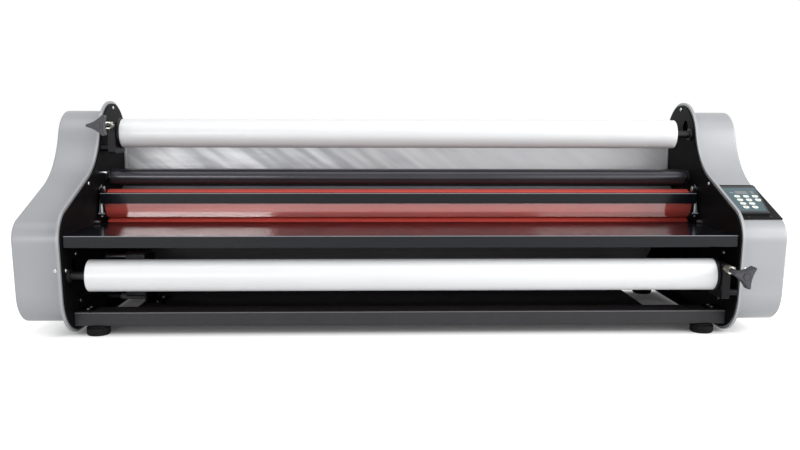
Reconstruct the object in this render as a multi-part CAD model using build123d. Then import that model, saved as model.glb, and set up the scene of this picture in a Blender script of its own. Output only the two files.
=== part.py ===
from build123d import *
import math
import os

# Roll laminator for film 1118 mm wide. Millimetres, +Z up, X across the machine, Y from front to back.
# While the pieces are drawn, Y = 0 is the axis of the lower film roll and Z = 0 is the table. At the
# end they all move along Y, so that the origin is the middle of the footprint.

# Running clearances
shaft_play = 0.05          # round a shaft that turns in a hole
seat_gap = 0.3             # between pieces of different bodies that rest on or pass each other
fit_gap = 0.2              # round a piece that sits in a cut-out of its own body
cut = 1.0                  # how far a cutter runs past the faces that it cuts
near = 0.01                # edges this close to a plane count as lying in it

# Side plates (cheeks): corners of the outline before rounding, and the rounding radii
cheek_thick = 3.0
cheek_bottom_z = 7.0
cheek_front_low_y = -19.4
nose_y, nose_z = -32.4, 213.4
waist_y, waist_z = 191.9, 302.0
crest_front_y, crest_z = 230.5, 421.7
cheek_rear_y = 372.0
flare_z = 235.0            # where the rear edge starts to flare out
tail_y, tail_z = 410.0, 150.0
toe_radius, nose_radius, waist_radius, crest_radius = 73.0, 55.0, 140.5, 80.0
flare_radius, tail_radius, heel_radius = 60.0, 60.0, 45.0
foot_flange_width = 28.0   # the inward fold at the cheek's foot
foot_flange_thick = 2.5
foot_flange_front_y, foot_flange_rear_y = 72.0, 355.0
access_hole_radius = 14.0  # round hole beside each free mandrel end
access_hole_back, access_hole_up = 30.0, 14.0

# Side covers
flange_reach = 5.0         # how far the flange stands out round the cheek
flange_thick = 5.0
cover_inset = 15.0         # how far the cover's body lies inside the cheek's outline
cover_wall = 3.0
cover_depth = 90.0         # from the cheek's outer face
cover_edge_radius = 4.0
vent_count = 7
vent_pitch, vent_width, vent_length = 12.0, 4.0, 60.0
vent_y, vent_z = 200.0, 100.0

# Base
rail_front_y = 19.1
rail_rear_y = 404.0
rail_low_z, rail_high_z = 17.2, 42.3
rail_top_depth, rail_low_depth = 48.0, 40.0
rail_sheet = 2.5
rail_bend_radius = 2.0
pan_left_gap, pan_right_gap = 79.0, 114.0   # from the cheeks: the floor shows through both
pan_sheet = 2.5
pan_rib_height = 6.0
pan_end_gap, pan_rib_gap = 1.0, 2.0   # to the rails' webs and to their top flanges
foot_inset = 38.0          # from the cheek's inner face
foot_front_y, foot_rear_y = 31.0, 383.0
foot_radius = 21.0
foot_neck_radius, foot_neck_height = 18.0, 3.0
foot_bevel_height, foot_bevel_depth, foot_edge_radius = 3.0, 2.0, 1.5
angle_leg, angle_width, angle_sheet = 30.0, 32.0, 2.5
front_angle_gap, rear_angle_gap = 10.0, 2.0   # from a rail's outer face to its angle brackets

# Film rolls and mandrels
roll_radius = 28.5
roll_half_length = 559.0
roll_bore_radius = 12.7
lower_roll_z = 114.4
upper_roll_y, upper_roll_z = 230.0, 361.9
mandrel_radius = 12.6
mandrel_end_radius = 7.5
mandrel_overhang = 1.5     # past the film on the free side
film_edge = 0.6
collar_radius, collar_thick = 30.0, 4.0
brake_stub_radius = 10.0
brake_stub_reach = 4.0     # past the bracket
bush_flange_radius, bush_flange_thick, bush_radius = 12.0, 4.0, 9.5

# Brake brackets and tension knobs, placed from the mandrel's axis
bracket_gap, bracket_thick = 5.0, 14.0   # the gap is from the film's end
bracket_foot_length = 17.0 # to the cheek
bracket_front, bracket_back = 36.0, 24.0
bracket_down, bracket_up = 39.0, 22.5
bracket_slit = 3.0
bracket_edge_radius = 3.0
bracket_foot_radius = 6.0
bracket_foot_drop = 29.0
bracket_foot_ys = (-24.0, 12.0)
stud_radius = 4.0
stud_up = 16.0
stud_back = 18.0
knob_front = 117.0
knob_thick = 17.0
knob_tip_reach, knob_tip_radius, knob_waist = 22.0, 3.0, 10.0
knob_cap_radius, knob_cap_thick = 5.6, 1.0
knob_boss_radius, knob_boss_length = 8.0, 6.0
knob_edge = 0.8
knob_lobes = 3
brake_nut_flats, brake_nut_length = 13.0, 18.0
upper_knob_turn, lower_knob_turn = 180.0, 165.0

# Idlers
idler_radius = 16.5
idler_journal_radius = 6.0
idler_edge = 1.5
upper_idler_y, upper_idler_z = 235.0, 274.0
lower_idler_y, lower_idler_z = 150.0, 92.0

# Heat rollers and pull rollers
nip_z = 192.5
heat_y = 215.0
heat_radius, heat_core_radius, heat_journal_radius, heat_bore_radius = 29.0, 25.0, 12.0, 8.0
pull_y = 318.0
pull_radius, pull_journal_radius = 28.0, 10.0
nip_gap = 0.3
roller_end_gap = 9.0       # from each cheek, for idlers and rollers alike
roller_end_face = 1.5      # how far a steel core stands out of its rubber
journal_reach = 14.0       # past the right cheek
bearing_wall = 4.0
bearing_flange_reach, bearing_flange_thick = 3.0, 2.5
heater_radius, heater_reach = 4.0, 11.0  # the reach is past its bracket
heater_plate_gap, heater_plate_thick = 38.0, 3.0
heater_plate_margin = 8.0
heater_post_radius, heater_post_spread = 3.0, 35.0

# Gears, all on the left between cheek and cover
gear_module = 2.0
gear_dedendum = 1.25       # in modules
pressure_angle = math.radians(20.0)
gear_backlash = 0.35
gear_gap, gear_width = 6.0, 10.0   # the gap is from the cheek
heat_teeth, pull_teeth, transfer_teeth, pinion_teeth = 29, 28, 32, 20
mesh_extra = 0.15          # added to each gear's distance from its neighbour
gear_hub_radius, gear_hub_length = 16.0, 4.0
transfer_pin_radius, transfer_collar_radius = 5.0, 7.0
pinion_dy = -9.6           # pinion shaft, in front of the lower heat roller's axis
pinion_shaft_radius = 6.0

# Gear motor
motor_plate_inset = 85.0   # from the left cheek
motor_plate_thick = 3.0
motor_plate_y0, motor_plate_y1, motor_plate_z1 = 172.0, 246.0, 118.0
motor_foot_length = 34.0
gearbox_length, gearbox_half_depth = 38.0, 30.0
gearbox_z0, gearbox_z1 = 38.0, 127.0
gearbox_edge = 4.0
motor_can_radius, motor_can_length, motor_can_drop = 24.0, 92.0, 42.0
motor_can_edge, motor_neck_radius = 3.0, 12.0
lead_tube_radius, lead_tube_y, lead_tube_z = 5.3, 212.0, 32.0
lead_block_length, lead_block_half_depth = 19.0, 4.0

# Feed tray
tray_front_y, tray_rear_y = -24.0, 180.0
tray_top_z = 188.0
tray_sheet = 1.5
tray_end_gap = 1.5
tray_lip_drop, tray_lip_return = 21.0, 12.0
tray_rear_drop = 8.0
tray_rear_end_gap = 27.0   # the rear fold stops short of the ledges
tray_bend_radius = 1.4
ledge_width, ledge_sheet, ledge_y0, ledge_y1 = 20.0, 2.5, 12.0, 165.0
ledge_leg = 14.0
tray_pin_y, tray_pin_radius, tray_pin_length = 150.0, 3.0, 9.0

# Heat shield
shield_pivot_y, shield_pivot_z = 185.0, 253.0
arm_gap, arm_thick = 6.2, 2.0   # the gap is from the cheek to the arm's inner face
arm_top_radius, arm_low_radius = 9.0, 8.0
arm_low_y, arm_low_z = 171.0, 205.0
bar_front_y, bar_low_z, bar_height, bar_depth = 165.0, 226.0, 20.5, 18.0
bar_sheet = 2.0
bar_bend_radius = 1.6
window_thick, window_low_z, window_top_gap = 3.0, 199.7, 2.5
window_end_gap = 0.5
window_pin_radius, window_pin_rise = 2.9, 5.4
window_pin_inner, window_pin_outer = 9.0, 1.2   # how far they stand out of the arm on each side
pivot_bolt_radius, pivot_head_radius, pivot_head_thick = 3.0, 6.0, 4.0
pivot_head_edge, pivot_collar_radius = 0.8, 5.0
stop_stud_y, stop_stud_z, stop_stud_length = 188.0, 285.0, 15.0

# Rear and guide panels
panel_sheet = 2.0
rear_panel_y, rear_panel_z0, rear_panel_z1 = 366.0, 232.0, 372.0
rear_panel_fold = 12.0
outfeed_z, outfeed_depth = 160.0, 30.0
guide_top_y, guide_top_z = 285.0, 129.0
guide_low_y, guide_low_z = 350.0, 70.0
panel_end_gap = 0.2

# Control panel, along the straight slope of the right cover
control_inner_gap, control_outer_gap = 8.0, 1.5   # to the cheek and to the cover's side
control_plate_thick, control_plate_overhang = 2.0, 4.5
housing_inset, housing_width_low, housing_width_high = 5.0, 56.5, 73.5
housing_s0, housing_s1, housing_thick = 9.5, 122.5, 4.0
housing_edge_radius = 1.5
membrane_inset, membrane_thick = 3.5, 0.5
key_width, key_height, key_rise, key_travel = 11.0, 8.0, 1.0, 1.0
key_corner_radius, key_length = 3.2, 4.0
key_columns = (21.0, 38.0, 55.0)   # from the housing's inner side, as are the windows
key_rows = (75.4, 60.7, 46.0, 31.3)
key_row_counts = (3, 3, 2, 2)
display_start, display_end, display_s0, display_s1 = 23.5, 46.5, 86.3, 98.5
lamp_window_start, lamp_window_end = 53.0, 59.0
display_rise = 0.6

# Circuit board in the right cover
board_gap, board_thick = 10.0, 1.6
board_y0, board_y1, board_z0, board_z1 = 60.0, 190.0, 66.0, 180.0
board_post_radius, board_post_inset = 3.0, 8.0
# Each block on the board: height, width, tallness, and its place from the board's low corner
board_blocks = ((34.0, 42.0, 48.0, 14.0, 12.0), (22.0, 30.0, 30.0, 72.0, 14.0))
capacitor_count = 3
capacitor_radius, capacitor_height = 8.0, 28.0
capacitor_pitch, capacitor_y, capacitor_z = 24.0, 28.0, 84.0

# Mains inlet with rocker switch, in the right cover's rear wall
inlet_gap, inlet_z = 50.0, 95.0   # the gap is from the cheek to the inlet's middle
inlet_width, inlet_height, inlet_flange_thick = 34.0, 62.0, 2.5
inlet_body_width, inlet_body_height, inlet_body_depth = 28.0, 50.0, 22.0
inlet_socket_width, inlet_socket_height, inlet_socket_depth = 24.0, 16.0, 16.0
inlet_socket_drop = 13.0
inlet_corner_radius = 3.0
blade_width, blade_thick, blade_length = 2.0, 4.0, 11.0
blade_places = ((-7.0, -2.0), (0.0, 2.0), (7.0, -2.0))
switch_width, switch_half_height, switch_rise = 13.0, 8.0, 13.0
switch_low, switch_front, switch_high = 3.4, 4.6, 6.0   # from its pivot, at the low end, middle and top
switch_pivot_depth = 2.0
switch_pin_radius, switch_pin_length = 1.0, 1.5
switch_tilt = math.radians(12.0)
switch_well_clear = 1.0

# Screws
screw_head_radius, screw_head_height = 3.8, 2.2
small_head_radius, small_head_height = 2.6, 1.2
plate_screw_insets, plate_screw_s = (19.5, 60.0), 1.7
angle_screw_up, angle_screw_in, angle_screw_shares = 18.0, 18.0, (0.25, 0.75)
motor_screw_in, motor_screw_shares = 20.4, (0.2, 0.8)
cheek_screw_places = ((288.0, 413.0), (122.0, 268.5), (-14.0, 126.0), (38.0, 148.0))


def face_outline(margin):
    """The cheek's outline in Y and Z, grown by margin on every side."""
    corners = [
        (cheek_front_low_y, cheek_bottom_z), (nose_y, nose_z), (waist_y, waist_z),
        (crest_front_y, crest_z), (cheek_rear_y, crest_z), (cheek_rear_y, flare_z),
        (tail_y, tail_z), (tail_y, cheek_bottom_z)]
    radii = [toe_radius, nose_radius, waist_radius, crest_radius, crest_radius,
             flare_radius, tail_radius, heel_radius]
    outline = make_face(FilletPolyline(*corners, radius=radii, close=True))
    if margin:
        outline = offset(outline, amount=margin, kind=Kind.ARC)
    return outline


def slab(face, x0, x1):
    """A face drawn in Y and Z, made solid from x0 to x1."""
    low, high = min(x0, x1), max(x0, x1)
    return extrude(Plane.YZ.offset(low) * face, amount=high - low)


def rod_x(radius, x0, x1, y, z):
    return slab(Pos(y, z) * Circle(radius), x0, x1)


def rod_y(radius, y0, y1, x, z):
    return Pos(x, (y0 + y1) / 2, z) * Rot(90, 0, 0) * Cylinder(radius, abs(y1 - y0))


def rod_z(radius, z0, z1, x, y):
    return Pos(x, y, (z0 + z1) / 2) * Cylinder(radius, z1 - z0)


def block(x0, x1, y0, y1, z0, z1):
    size = Box(abs(x1 - x0), y1 - y0, z1 - z0)
    return Pos((x0 + x1) / 2, (y0 + y1) / 2, (z0 + z1) / 2) * size


def ring_x(outer, inner, x0, x1, y, z):
    return slab(Pos(y, z) * (Circle(outer) - Circle(inner)), x0, x1)


def group(pieces):
    """Separate solids of one kind that share a node."""
    return Compound([solid for piece in pieces for solid in piece.solids()])


# Places across the machine: from the film's end out to the covers
bracket_inner_x = roll_half_length + bracket_gap
bracket_outer_x = bracket_inner_x + bracket_thick
brake_stub_end_x = bracket_outer_x + brake_stub_reach
cheek_inner_x = bracket_outer_x + bracket_foot_length
cheek_outer_x = cheek_inner_x + cheek_thick
cover_outer_x = cheek_outer_x + cover_depth
foot_x = cheek_inner_x - foot_inset
pan_left_x, pan_right_x = pan_left_gap - cheek_inner_x, cheek_inner_x - pan_right_gap
roller_half_length = cheek_inner_x - roller_end_gap
journal_right_x = cheek_outer_x + journal_reach
gear_inner_x = cheek_outer_x + gear_gap
heater_plate_x = cheek_outer_x + heater_plate_gap
heater_half_length = heater_plate_x + heater_plate_thick + heater_reach
motor_plate_x = motor_plate_inset - cheek_inner_x
tray_half_width = cheek_inner_x - tray_end_gap
tray_rear_half_width = cheek_inner_x - tray_rear_end_gap
arm_x = cheek_inner_x - arm_gap
window_half_length = arm_x - window_end_gap
control_x0, control_x1 = cheek_outer_x + control_inner_gap, cover_outer_x - control_outer_gap
housing_x0 = control_x0 + housing_inset
display_x0, display_x1 = housing_x0 + display_start, housing_x0 + display_end
lamp_window_x0, lamp_window_x1 = housing_x0 + lamp_window_start, housing_x0 + lamp_window_end
board_x = cheek_outer_x + board_gap
inlet_x = cheek_outer_x + inlet_gap

# Other places that follow from the sizes above
body_x = cheek_outer_x + flange_thick
slope = math.atan2(waist_z - nose_z, waist_y - nose_y)
front_lean = math.atan2(nose_z - cheek_bottom_z, nose_y - cheek_front_low_y)
nose_tangent = nose_radius * math.tan((front_lean - slope) / 2)
riser = math.atan2(crest_z - waist_z, crest_front_y - waist_y)
waist_tangent = waist_radius * math.tan((riser - slope) / 2)
slope_length = math.dist((nose_y, nose_z), (waist_y, waist_z)) - nose_tangent - waist_tangent
heat_upper_z = nip_z + heat_radius + nip_gap / 2
heat_lower_z = nip_z - heat_radius - nip_gap / 2
pull_upper_z = nip_z + pull_radius + nip_gap / 2
pull_lower_z = nip_z - pull_radius - nip_gap / 2
mandrels = {"upper": (-1, upper_roll_y, upper_roll_z), "lower": (1, 0.0, lower_roll_z)}


def mesh_distance(teeth_a, teeth_b):
    return gear_module * (teeth_a + teeth_b) / 2 + mesh_extra


def meet(centre_a, reach_a, centre_b, reach_b):
    """The lower crossing of two circles: where a third gear meshes with both."""
    dy, dz = centre_b[0] - centre_a[0], centre_b[1] - centre_a[1]
    span = math.hypot(dy, dz)
    along = (reach_a ** 2 - reach_b ** 2 + span ** 2) / (2 * span)
    drop = math.sqrt(reach_a ** 2 - along ** 2)
    return (centre_a[0] + (along * dy + drop * dz) / span,
            centre_a[1] + (along * dz - drop * dy) / span)


transfer_y, transfer_z = meet(
    (heat_y, heat_lower_z), mesh_distance(heat_teeth, transfer_teeth),
    (pull_y, pull_lower_z), mesh_distance(transfer_teeth, pull_teeth))
pinion_y = heat_y + pinion_dy
pinion_z = heat_lower_z - math.sqrt(mesh_distance(heat_teeth, pinion_teeth) ** 2 - pinion_dy ** 2)

# Every journal: place, radius and the sides on which a bearing carries it
journals = [
    (heat_y, heat_upper_z, heat_journal_radius, (-1, 1)),
    (heat_y, heat_lower_z, heat_journal_radius, (-1, 1)),
    (pull_y, pull_upper_z, pull_journal_radius, (-1, 1)),
    (pull_y, pull_lower_z, pull_journal_radius, (-1, 1)),
    (upper_idler_y, upper_idler_z, idler_journal_radius, (-1, 1)),
    (lower_idler_y, lower_idler_z, idler_journal_radius, (-1, 1)),
    (pinion_y, pinion_z, pinion_shaft_radius, (-1,))]

parts = {}


# Frame: cheeks, covers, base

def make_cheek(side):
    plate = slab(face_outline(0), side * cheek_inner_x, side * cheek_outer_x)
    plate += block(side * (cheek_inner_x - foot_flange_width), side * cheek_inner_x,
                   foot_flange_front_y, foot_flange_rear_y, rail_low_z, rail_low_z + foot_flange_thick)
    span = (side * (cheek_inner_x - cut), side * (cheek_outer_x + cut))
    for y, z, radius, sides in journals:
        if side in sides:
            plate -= rod_x(radius + bearing_wall, *span, y, z)
    for brake_side, y, z in mandrels.values():
        if side != brake_side:
            plate -= rod_x(bush_radius, *span, y, z)
            plate -= rod_x(access_hole_radius, *span, y + access_hole_back, z + access_hole_up)
    return plate


def make_cover(side):
    flange = slab(face_outline(flange_reach), side * cheek_outer_x, side * body_x)
    shell = slab(face_outline(-cover_inset), side * body_x, side * cover_outer_x)
    rim = shell.faces().sort_by(Axis.X)[-1 if side > 0 else 0].edges()
    shell = fillet(rim, cover_edge_radius)
    hollow = slab(face_outline(-cover_inset - cover_wall), side * (cheek_outer_x - cut),
                  side * (cover_outer_x - cover_wall))
    cover = flange + shell - hollow
    first = vent_z - vent_pitch * (vent_count - 1) / 2
    for index in range(vent_count):
        slot = Pos(vent_y, first + index * vent_pitch) * SlotOverall(vent_length, vent_width)
        cover -= slab(slot, side * (cover_outer_x - 2 * cover_wall), side * (cover_outer_x + cut))
    if side > 0:
        wall_y = tail_y - cover_inset
        cover -= block(inlet_x - inlet_body_width / 2 - fit_gap, inlet_x + inlet_body_width / 2 + fit_gap,
                       wall_y - 2 * cover_wall, wall_y + cut,
                       inlet_z - inlet_body_height / 2 - fit_gap, inlet_z + inlet_body_height / 2 + fit_gap)
    return cover


def make_rail(web_y, inward):
    """A channel with its web outside and both flanges pointing inward, +1 to the rear or -1 to the front."""
    far = cheek_inner_x
    ys = sorted((web_y, web_y + inward * rail_sheet))
    rail = block(-far, far, *ys, rail_low_z, rail_high_z)
    ys = sorted((web_y, web_y + inward * rail_top_depth))
    rail += block(-far, far, *ys, rail_high_z - rail_sheet, rail_high_z)
    ys = sorted((web_y, web_y + inward * rail_low_depth))
    rail += block(-far, far, *ys, rail_low_z, rail_low_z + rail_sheet)
    outer_edges = rail.edges().filter_by(Axis.X).filter_by(lambda e: abs(e.center().Y - web_y) < near)
    return fillet(outer_edges, rail_bend_radius)


def make_pan():
    floor_z = rail_low_z + rail_sheet
    y0, y1 = rail_front_y + rail_sheet + pan_end_gap, rail_rear_y - rail_sheet - pan_end_gap
    pan = block(pan_left_x, pan_right_x, y0, y1, floor_z, floor_z + pan_sheet)
    rib_y0 = rail_front_y + rail_top_depth + pan_rib_gap
    rib_y1 = rail_rear_y - rail_top_depth - pan_rib_gap
    for x0, x1 in ((pan_left_x, pan_left_x + pan_sheet), (pan_right_x - pan_sheet, pan_right_x)):
        pan += block(x0, x1, rib_y0, rib_y1, floor_z, floor_z + pan_rib_height)
    return pan


def make_angle(side, y0):
    """An angle bracket on a rail's top flange, its upright leg against the cheek."""
    y1 = y0 + angle_width
    outer, foot_x1 = side * cheek_inner_x, side * (cheek_inner_x - angle_leg)
    foot = block(foot_x1, outer, y0, y1, rail_high_z, rail_high_z + angle_sheet)
    leg = block(side * (cheek_inner_x - angle_sheet), outer, y0, y1, rail_high_z, rail_high_z + angle_leg)
    return foot + leg


def make_ledge(side):
    """The ledge that one side of the feed tray rests on."""
    top = tray_top_z - tray_sheet - seat_gap
    outer = side * cheek_inner_x
    shelf = block(side * (cheek_inner_x - ledge_width), outer, ledge_y0, ledge_y1, top - ledge_sheet, top)
    leg = block(side * (cheek_inner_x - ledge_sheet), outer, ledge_y0, ledge_y1, top - ledge_leg, top)
    return shelf + leg


def make_foot(x, y):
    neck = rod_z(foot_neck_radius, rail_low_z - foot_neck_height, rail_low_z, x, y)
    pad = rod_z(foot_radius, 0, rail_low_z - foot_neck_height, x, y)
    pad = chamfer(pad.edges().group_by(Axis.Z)[0], foot_bevel_height, foot_bevel_depth)
    pad = fillet(pad.edges().group_by(Axis.Z)[-1], foot_edge_radius)
    return pad + neck


parts["left_cheek"] = make_cheek(-1)
parts["right_cheek"] = make_cheek(1)
parts["left_cover"] = make_cover(-1)
parts["right_cover"] = make_cover(1)
parts["base_rails"] = group([make_rail(rail_front_y, 1), make_rail(rail_rear_y, -1)])
parts["base_pan"] = make_pan()
angle_ys = (rail_front_y + front_angle_gap, rail_rear_y - rear_angle_gap - angle_width)
parts["angle_brackets"] = group(
    [make_angle(side, y) for side in (-1, 1) for y in angle_ys] + [make_ledge(side) for side in (-1, 1)])
parts["rubber_feet"] = group(
    [make_foot(x, y) for x in (-foot_x, foot_x) for y in (foot_front_y, foot_rear_y)])


# Panels between the cheeks

def strip(points, thick, half_length):
    """A folded sheet: a line drawn in Y and Z, thickened to its left and spanning the machine."""
    band = []
    for (y0, z0), (y1, z1) in zip(points, points[1:]):
        length = math.hypot(y1 - y0, z1 - z0)
        side_y, side_z = -(z1 - z0) / length * thick, (y1 - y0) / length * thick
        band.append(make_face(Polyline(
            (y0, z0), (y1, z1), (y1 + side_y, z1 + side_z), (y0 + side_y, z0 + side_z), close=True)))
    return slab(Sketch() + band, -half_length, half_length)


panel_half_length = cheek_inner_x - panel_end_gap
parts["rear_upper_panel"] = (
    block(-panel_half_length, panel_half_length, rear_panel_y, rear_panel_y + panel_sheet,
          rear_panel_z0, rear_panel_z1)
    + block(-panel_half_length, panel_half_length, rear_panel_y - rear_panel_fold, rear_panel_y,
            rear_panel_z1 - panel_sheet, rear_panel_z1))
parts["rear_lower_panel"] = (
    block(-panel_half_length, panel_half_length, rear_panel_y, rear_panel_y + panel_sheet,
          rail_high_z, outfeed_z)
    + block(-panel_half_length, panel_half_length, rear_panel_y, rear_panel_y + outfeed_depth,
            outfeed_z - panel_sheet, outfeed_z))
parts["lower_guide_panel"] = strip(
    [(guide_low_y, guide_low_z), (guide_top_y, guide_top_z)], panel_sheet, panel_half_length)


# Bearings, brake brackets and the film rolls

def make_bearing(side, y, z, journal_radius):
    outer, inner = journal_radius + bearing_wall, journal_radius + shaft_play
    body = ring_x(outer, inner, side * cheek_inner_x, side * cheek_outer_x, y, z)
    lip = ring_x(outer + bearing_flange_reach, inner, side * (cheek_inner_x - bearing_flange_thick),
                 side * cheek_inner_x, y, z)
    return body + lip


def make_bush(side, y, z):
    inner = mandrel_end_radius + shaft_play
    body = ring_x(bush_radius, inner, side * cheek_inner_x, side * cheek_outer_x, y, z)
    lip = ring_x(bush_flange_radius, inner, side * (cheek_inner_x - bush_flange_thick),
                 side * cheek_inner_x, y, z)
    return body + lip


def make_brake_bracket(side, y, z):
    bracket = block(side * bracket_inner_x, side * bracket_outer_x, y - bracket_front, y + bracket_back,
                    z - bracket_down, z + bracket_up)
    bracket = fillet(bracket.edges().filter_by(Axis.X), bracket_edge_radius)
    for foot_y in bracket_foot_ys:
        bracket += rod_x(bracket_foot_radius, side * bracket_outer_x, side * cheek_inner_x,
                         y + foot_y, z - bracket_foot_drop)
    span = (side * (bracket_inner_x - cut), side * (bracket_outer_x + cut))
    bracket -= rod_x(brake_stub_radius + shaft_play, *span, y, z)
    bracket -= block(*span, y - bracket_slit / 2, y + bracket_slit / 2, z, z + bracket_up + cut)
    stud_x = side * (bracket_inner_x + bracket_outer_x) / 2
    return bracket - rod_y(stud_radius + shaft_play, y - bracket_front - cut, y + bracket_back + cut,
                           stud_x, z + stud_up)


def make_brake_nut(side, y, z):
    x = side * (bracket_inner_x + bracket_outer_x) / 2
    hexagon = RegularPolygon(brake_nut_flats / 2, 6, major_radius=False) - Circle(stud_radius + shaft_play)
    nut = extrude(hexagon, amount=brake_nut_length)
    return Pos(x, y - bracket_front, z + stud_up) * Rot(90, 0, 0) * nut


def make_mandrel(side, y, z):
    """side is the braked end."""
    far = roll_half_length
    collar_end = far + seat_gap + collar_thick
    free_end = -side * (far + mandrel_overhang)
    shaft = rod_x(mandrel_radius, free_end, side * (far + seat_gap), y, z)
    shaft += rod_x(collar_radius, side * (far + seat_gap), side * collar_end, y, z)
    shaft += rod_x(brake_stub_radius, side * collar_end, side * brake_stub_end_x, y, z)
    return shaft + rod_x(mandrel_end_radius, free_end, -side * cheek_outer_x, y, z)


def make_film_roll(y, z):
    roll = ring_x(roll_radius, roll_bore_radius, -roll_half_length, roll_half_length, y, z)
    ends = roll.edges().filter_by(GeomType.CIRCLE).filter_by(lambda e: e.radius > collar_radius / 2)
    return chamfer(ends, film_edge)


def make_knob(side, y, z, turn):
    """Three narrow lobes with hollowed sides, on a long stud that runs through the bracket."""
    tip = knob_tip_reach - knob_tip_radius
    angles = [math.radians(turn + 360 / knob_lobes * index) for index in range(knob_lobes)]
    points = []
    for angle in angles:
        spread = math.pi / 2
        start = (tip * math.cos(angle) + knob_tip_radius * math.cos(angle - spread),
                 tip * math.sin(angle) + knob_tip_radius * math.sin(angle - spread))
        nose = (knob_tip_reach * math.cos(angle), knob_tip_reach * math.sin(angle))
        end = (tip * math.cos(angle) + knob_tip_radius * math.cos(angle + spread),
               tip * math.sin(angle) + knob_tip_radius * math.sin(angle + spread))
        points.append((start, nose, end))
    curves = []
    for index, angle in enumerate(angles):
        start, nose, end = points[index]
        following = points[(index + 1) % knob_lobes][0]
        between = angle + math.pi / knob_lobes
        middle = (knob_waist * math.cos(between), knob_waist * math.sin(between))
        curves += [ThreePointArc(start, nose, end), ThreePointArc(end, middle, following)]
    star = make_face(curves)
    head = extrude(star, amount=knob_thick - knob_edge)
    head += Pos(0, 0, knob_thick - knob_edge) * extrude(offset(star, amount=-knob_edge), amount=knob_edge)
    cap = Pos(0, 0, knob_thick) * extrude(Circle(knob_cap_radius), amount=knob_cap_thick)
    boss = extrude(Circle(knob_boss_radius), amount=-knob_boss_length)
    head = head + cap + boss
    x, axis_z = side * (bracket_inner_x + bracket_outer_x) / 2, z + stud_up
    back_y = y - knob_front + knob_thick
    head = Pos(x, back_y, axis_z) * Rot(90, 0, 0) * head
    return head + rod_y(stud_radius, back_y, y + stud_back, x, axis_z)


bearings = [make_bearing(side, y, z, radius) for y, z, radius, sides in journals for side in sides]
brackets, nuts = [], []
knob_turns = {"upper": upper_knob_turn, "lower": lower_knob_turn}
for level, (brake_side, roll_y, roll_z) in mandrels.items():
    bearings.append(make_bush(-brake_side, roll_y, roll_z))
    brackets.append(make_brake_bracket(brake_side, roll_y, roll_z))
    nuts.append(make_brake_nut(brake_side, roll_y, roll_z))
    parts[level + "_mandrel"] = make_mandrel(brake_side, roll_y, roll_z)
    parts[level + "_film_roll"] = make_film_roll(roll_y, roll_z)
    parts[level + "_knob"] = make_knob(brake_side, roll_y, roll_z, knob_turns[level])
parts["roller_bearings"] = group(bearings)
parts["brake_brackets"] = group(brackets)
parts["brake_nuts"] = group(nuts)


# Idlers, heat rollers and pull rollers

def make_idler(y, z):
    bar = rod_x(idler_radius, -roller_half_length, roller_half_length, y, z)
    bar = chamfer(bar.edges().filter_by(GeomType.CIRCLE), idler_edge)
    return bar + rod_x(idler_journal_radius, -cheek_outer_x, cheek_outer_x, y, z)


def make_core(radius, journal_radius, y, z):
    shoulder = roller_half_length + roller_end_face
    core = rod_x(radius, -shoulder, shoulder, y, z)
    return core + rod_x(journal_radius, -gear_inner_x - gear_width, journal_right_x, y, z)


parts["upper_idler"] = make_idler(upper_idler_y, upper_idler_z)
parts["lower_idler"] = make_idler(lower_idler_y, lower_idler_z)
for level, z in (("upper", heat_upper_z), ("lower", heat_lower_z)):
    core = make_core(heat_core_radius, heat_journal_radius, heat_y, z)
    parts[level + "_heat_core"] = core - rod_x(
        heat_bore_radius, -gear_inner_x - gear_width - cut, journal_right_x + cut, heat_y, z)
    parts[level + "_heat_sleeve"] = ring_x(heat_radius, heat_core_radius, -roller_half_length,
                                           roller_half_length, heat_y, z)
for level, z in (("upper", pull_upper_z), ("lower", pull_lower_z)):
    parts[level + "_pull_roller"] = make_core(pull_radius, pull_journal_radius, pull_y, z)


# Heaters inside the heat rollers, and the brackets that hold their ends

def make_heater_bracket(side):
    x0, x1 = side * heater_plate_x, side * (heater_plate_x + heater_plate_thick)
    low, high = heat_lower_z, heat_upper_z
    y0 = heat_y - heater_post_spread - heater_plate_margin
    y1 = heat_y + heater_post_spread + heater_plate_margin
    plate = block(x0, x1, y0, y1, nip_z - heater_plate_margin, nip_z + heater_plate_margin)
    plate += block(x0, x1, heat_y - heater_plate_margin, heat_y + heater_plate_margin,
                   low - heater_plate_margin, high + heater_plate_margin)
    for z in (low, high):
        plate -= rod_x(heater_radius, x0 - side, x1 + side, heat_y, z)
    for y in (heat_y - heater_post_spread, heat_y + heater_post_spread):
        plate += rod_x(heater_post_radius, side * cheek_outer_x, x0, y, nip_z)
    return plate


parts["heater_rods"] = group([
    rod_x(heater_radius, -heater_half_length, heater_half_length, heat_y, z)
    for z in (heat_lower_z, heat_upper_z)])
parts["heater_brackets"] = group([make_heater_bracket(side) for side in (-1, 1)])


# Gear train in the left cover

def gear_face(teeth, turn):
    """An involute gear drawn in Y and Z, one tooth centred on the angle turn."""
    pitch_radius = gear_module * teeth / 2
    base_radius = pitch_radius * math.cos(pressure_angle)
    root_radius = pitch_radius - gear_dedendum * gear_module
    half_tooth = math.pi / (2 * teeth) - gear_backlash / (2 * pitch_radius)
    involute_at_pitch = math.tan(pressure_angle) - pressure_angle

    def half_angle(radius):
        leaning = math.acos(min(1.0, base_radius / radius))
        return half_tooth + involute_at_pitch - (math.tan(leaning) - leaning)

    radii = [max(base_radius, root_radius), pitch_radius, pitch_radius + gear_module]
    flank = [(root_radius, half_angle(radii[0]))] + [(radius, half_angle(radius)) for radius in radii]
    points = []
    for index in range(teeth):
        middle = turn + 2 * math.pi * index / teeth
        for radius, angle in flank:
            points.append((radius * math.cos(middle - angle), radius * math.sin(middle - angle)))
        for radius, angle in reversed(flank):
            points.append((radius * math.cos(middle + angle), radius * math.sin(middle + angle)))
    return make_face(Polyline(*points, close=True))


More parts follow.
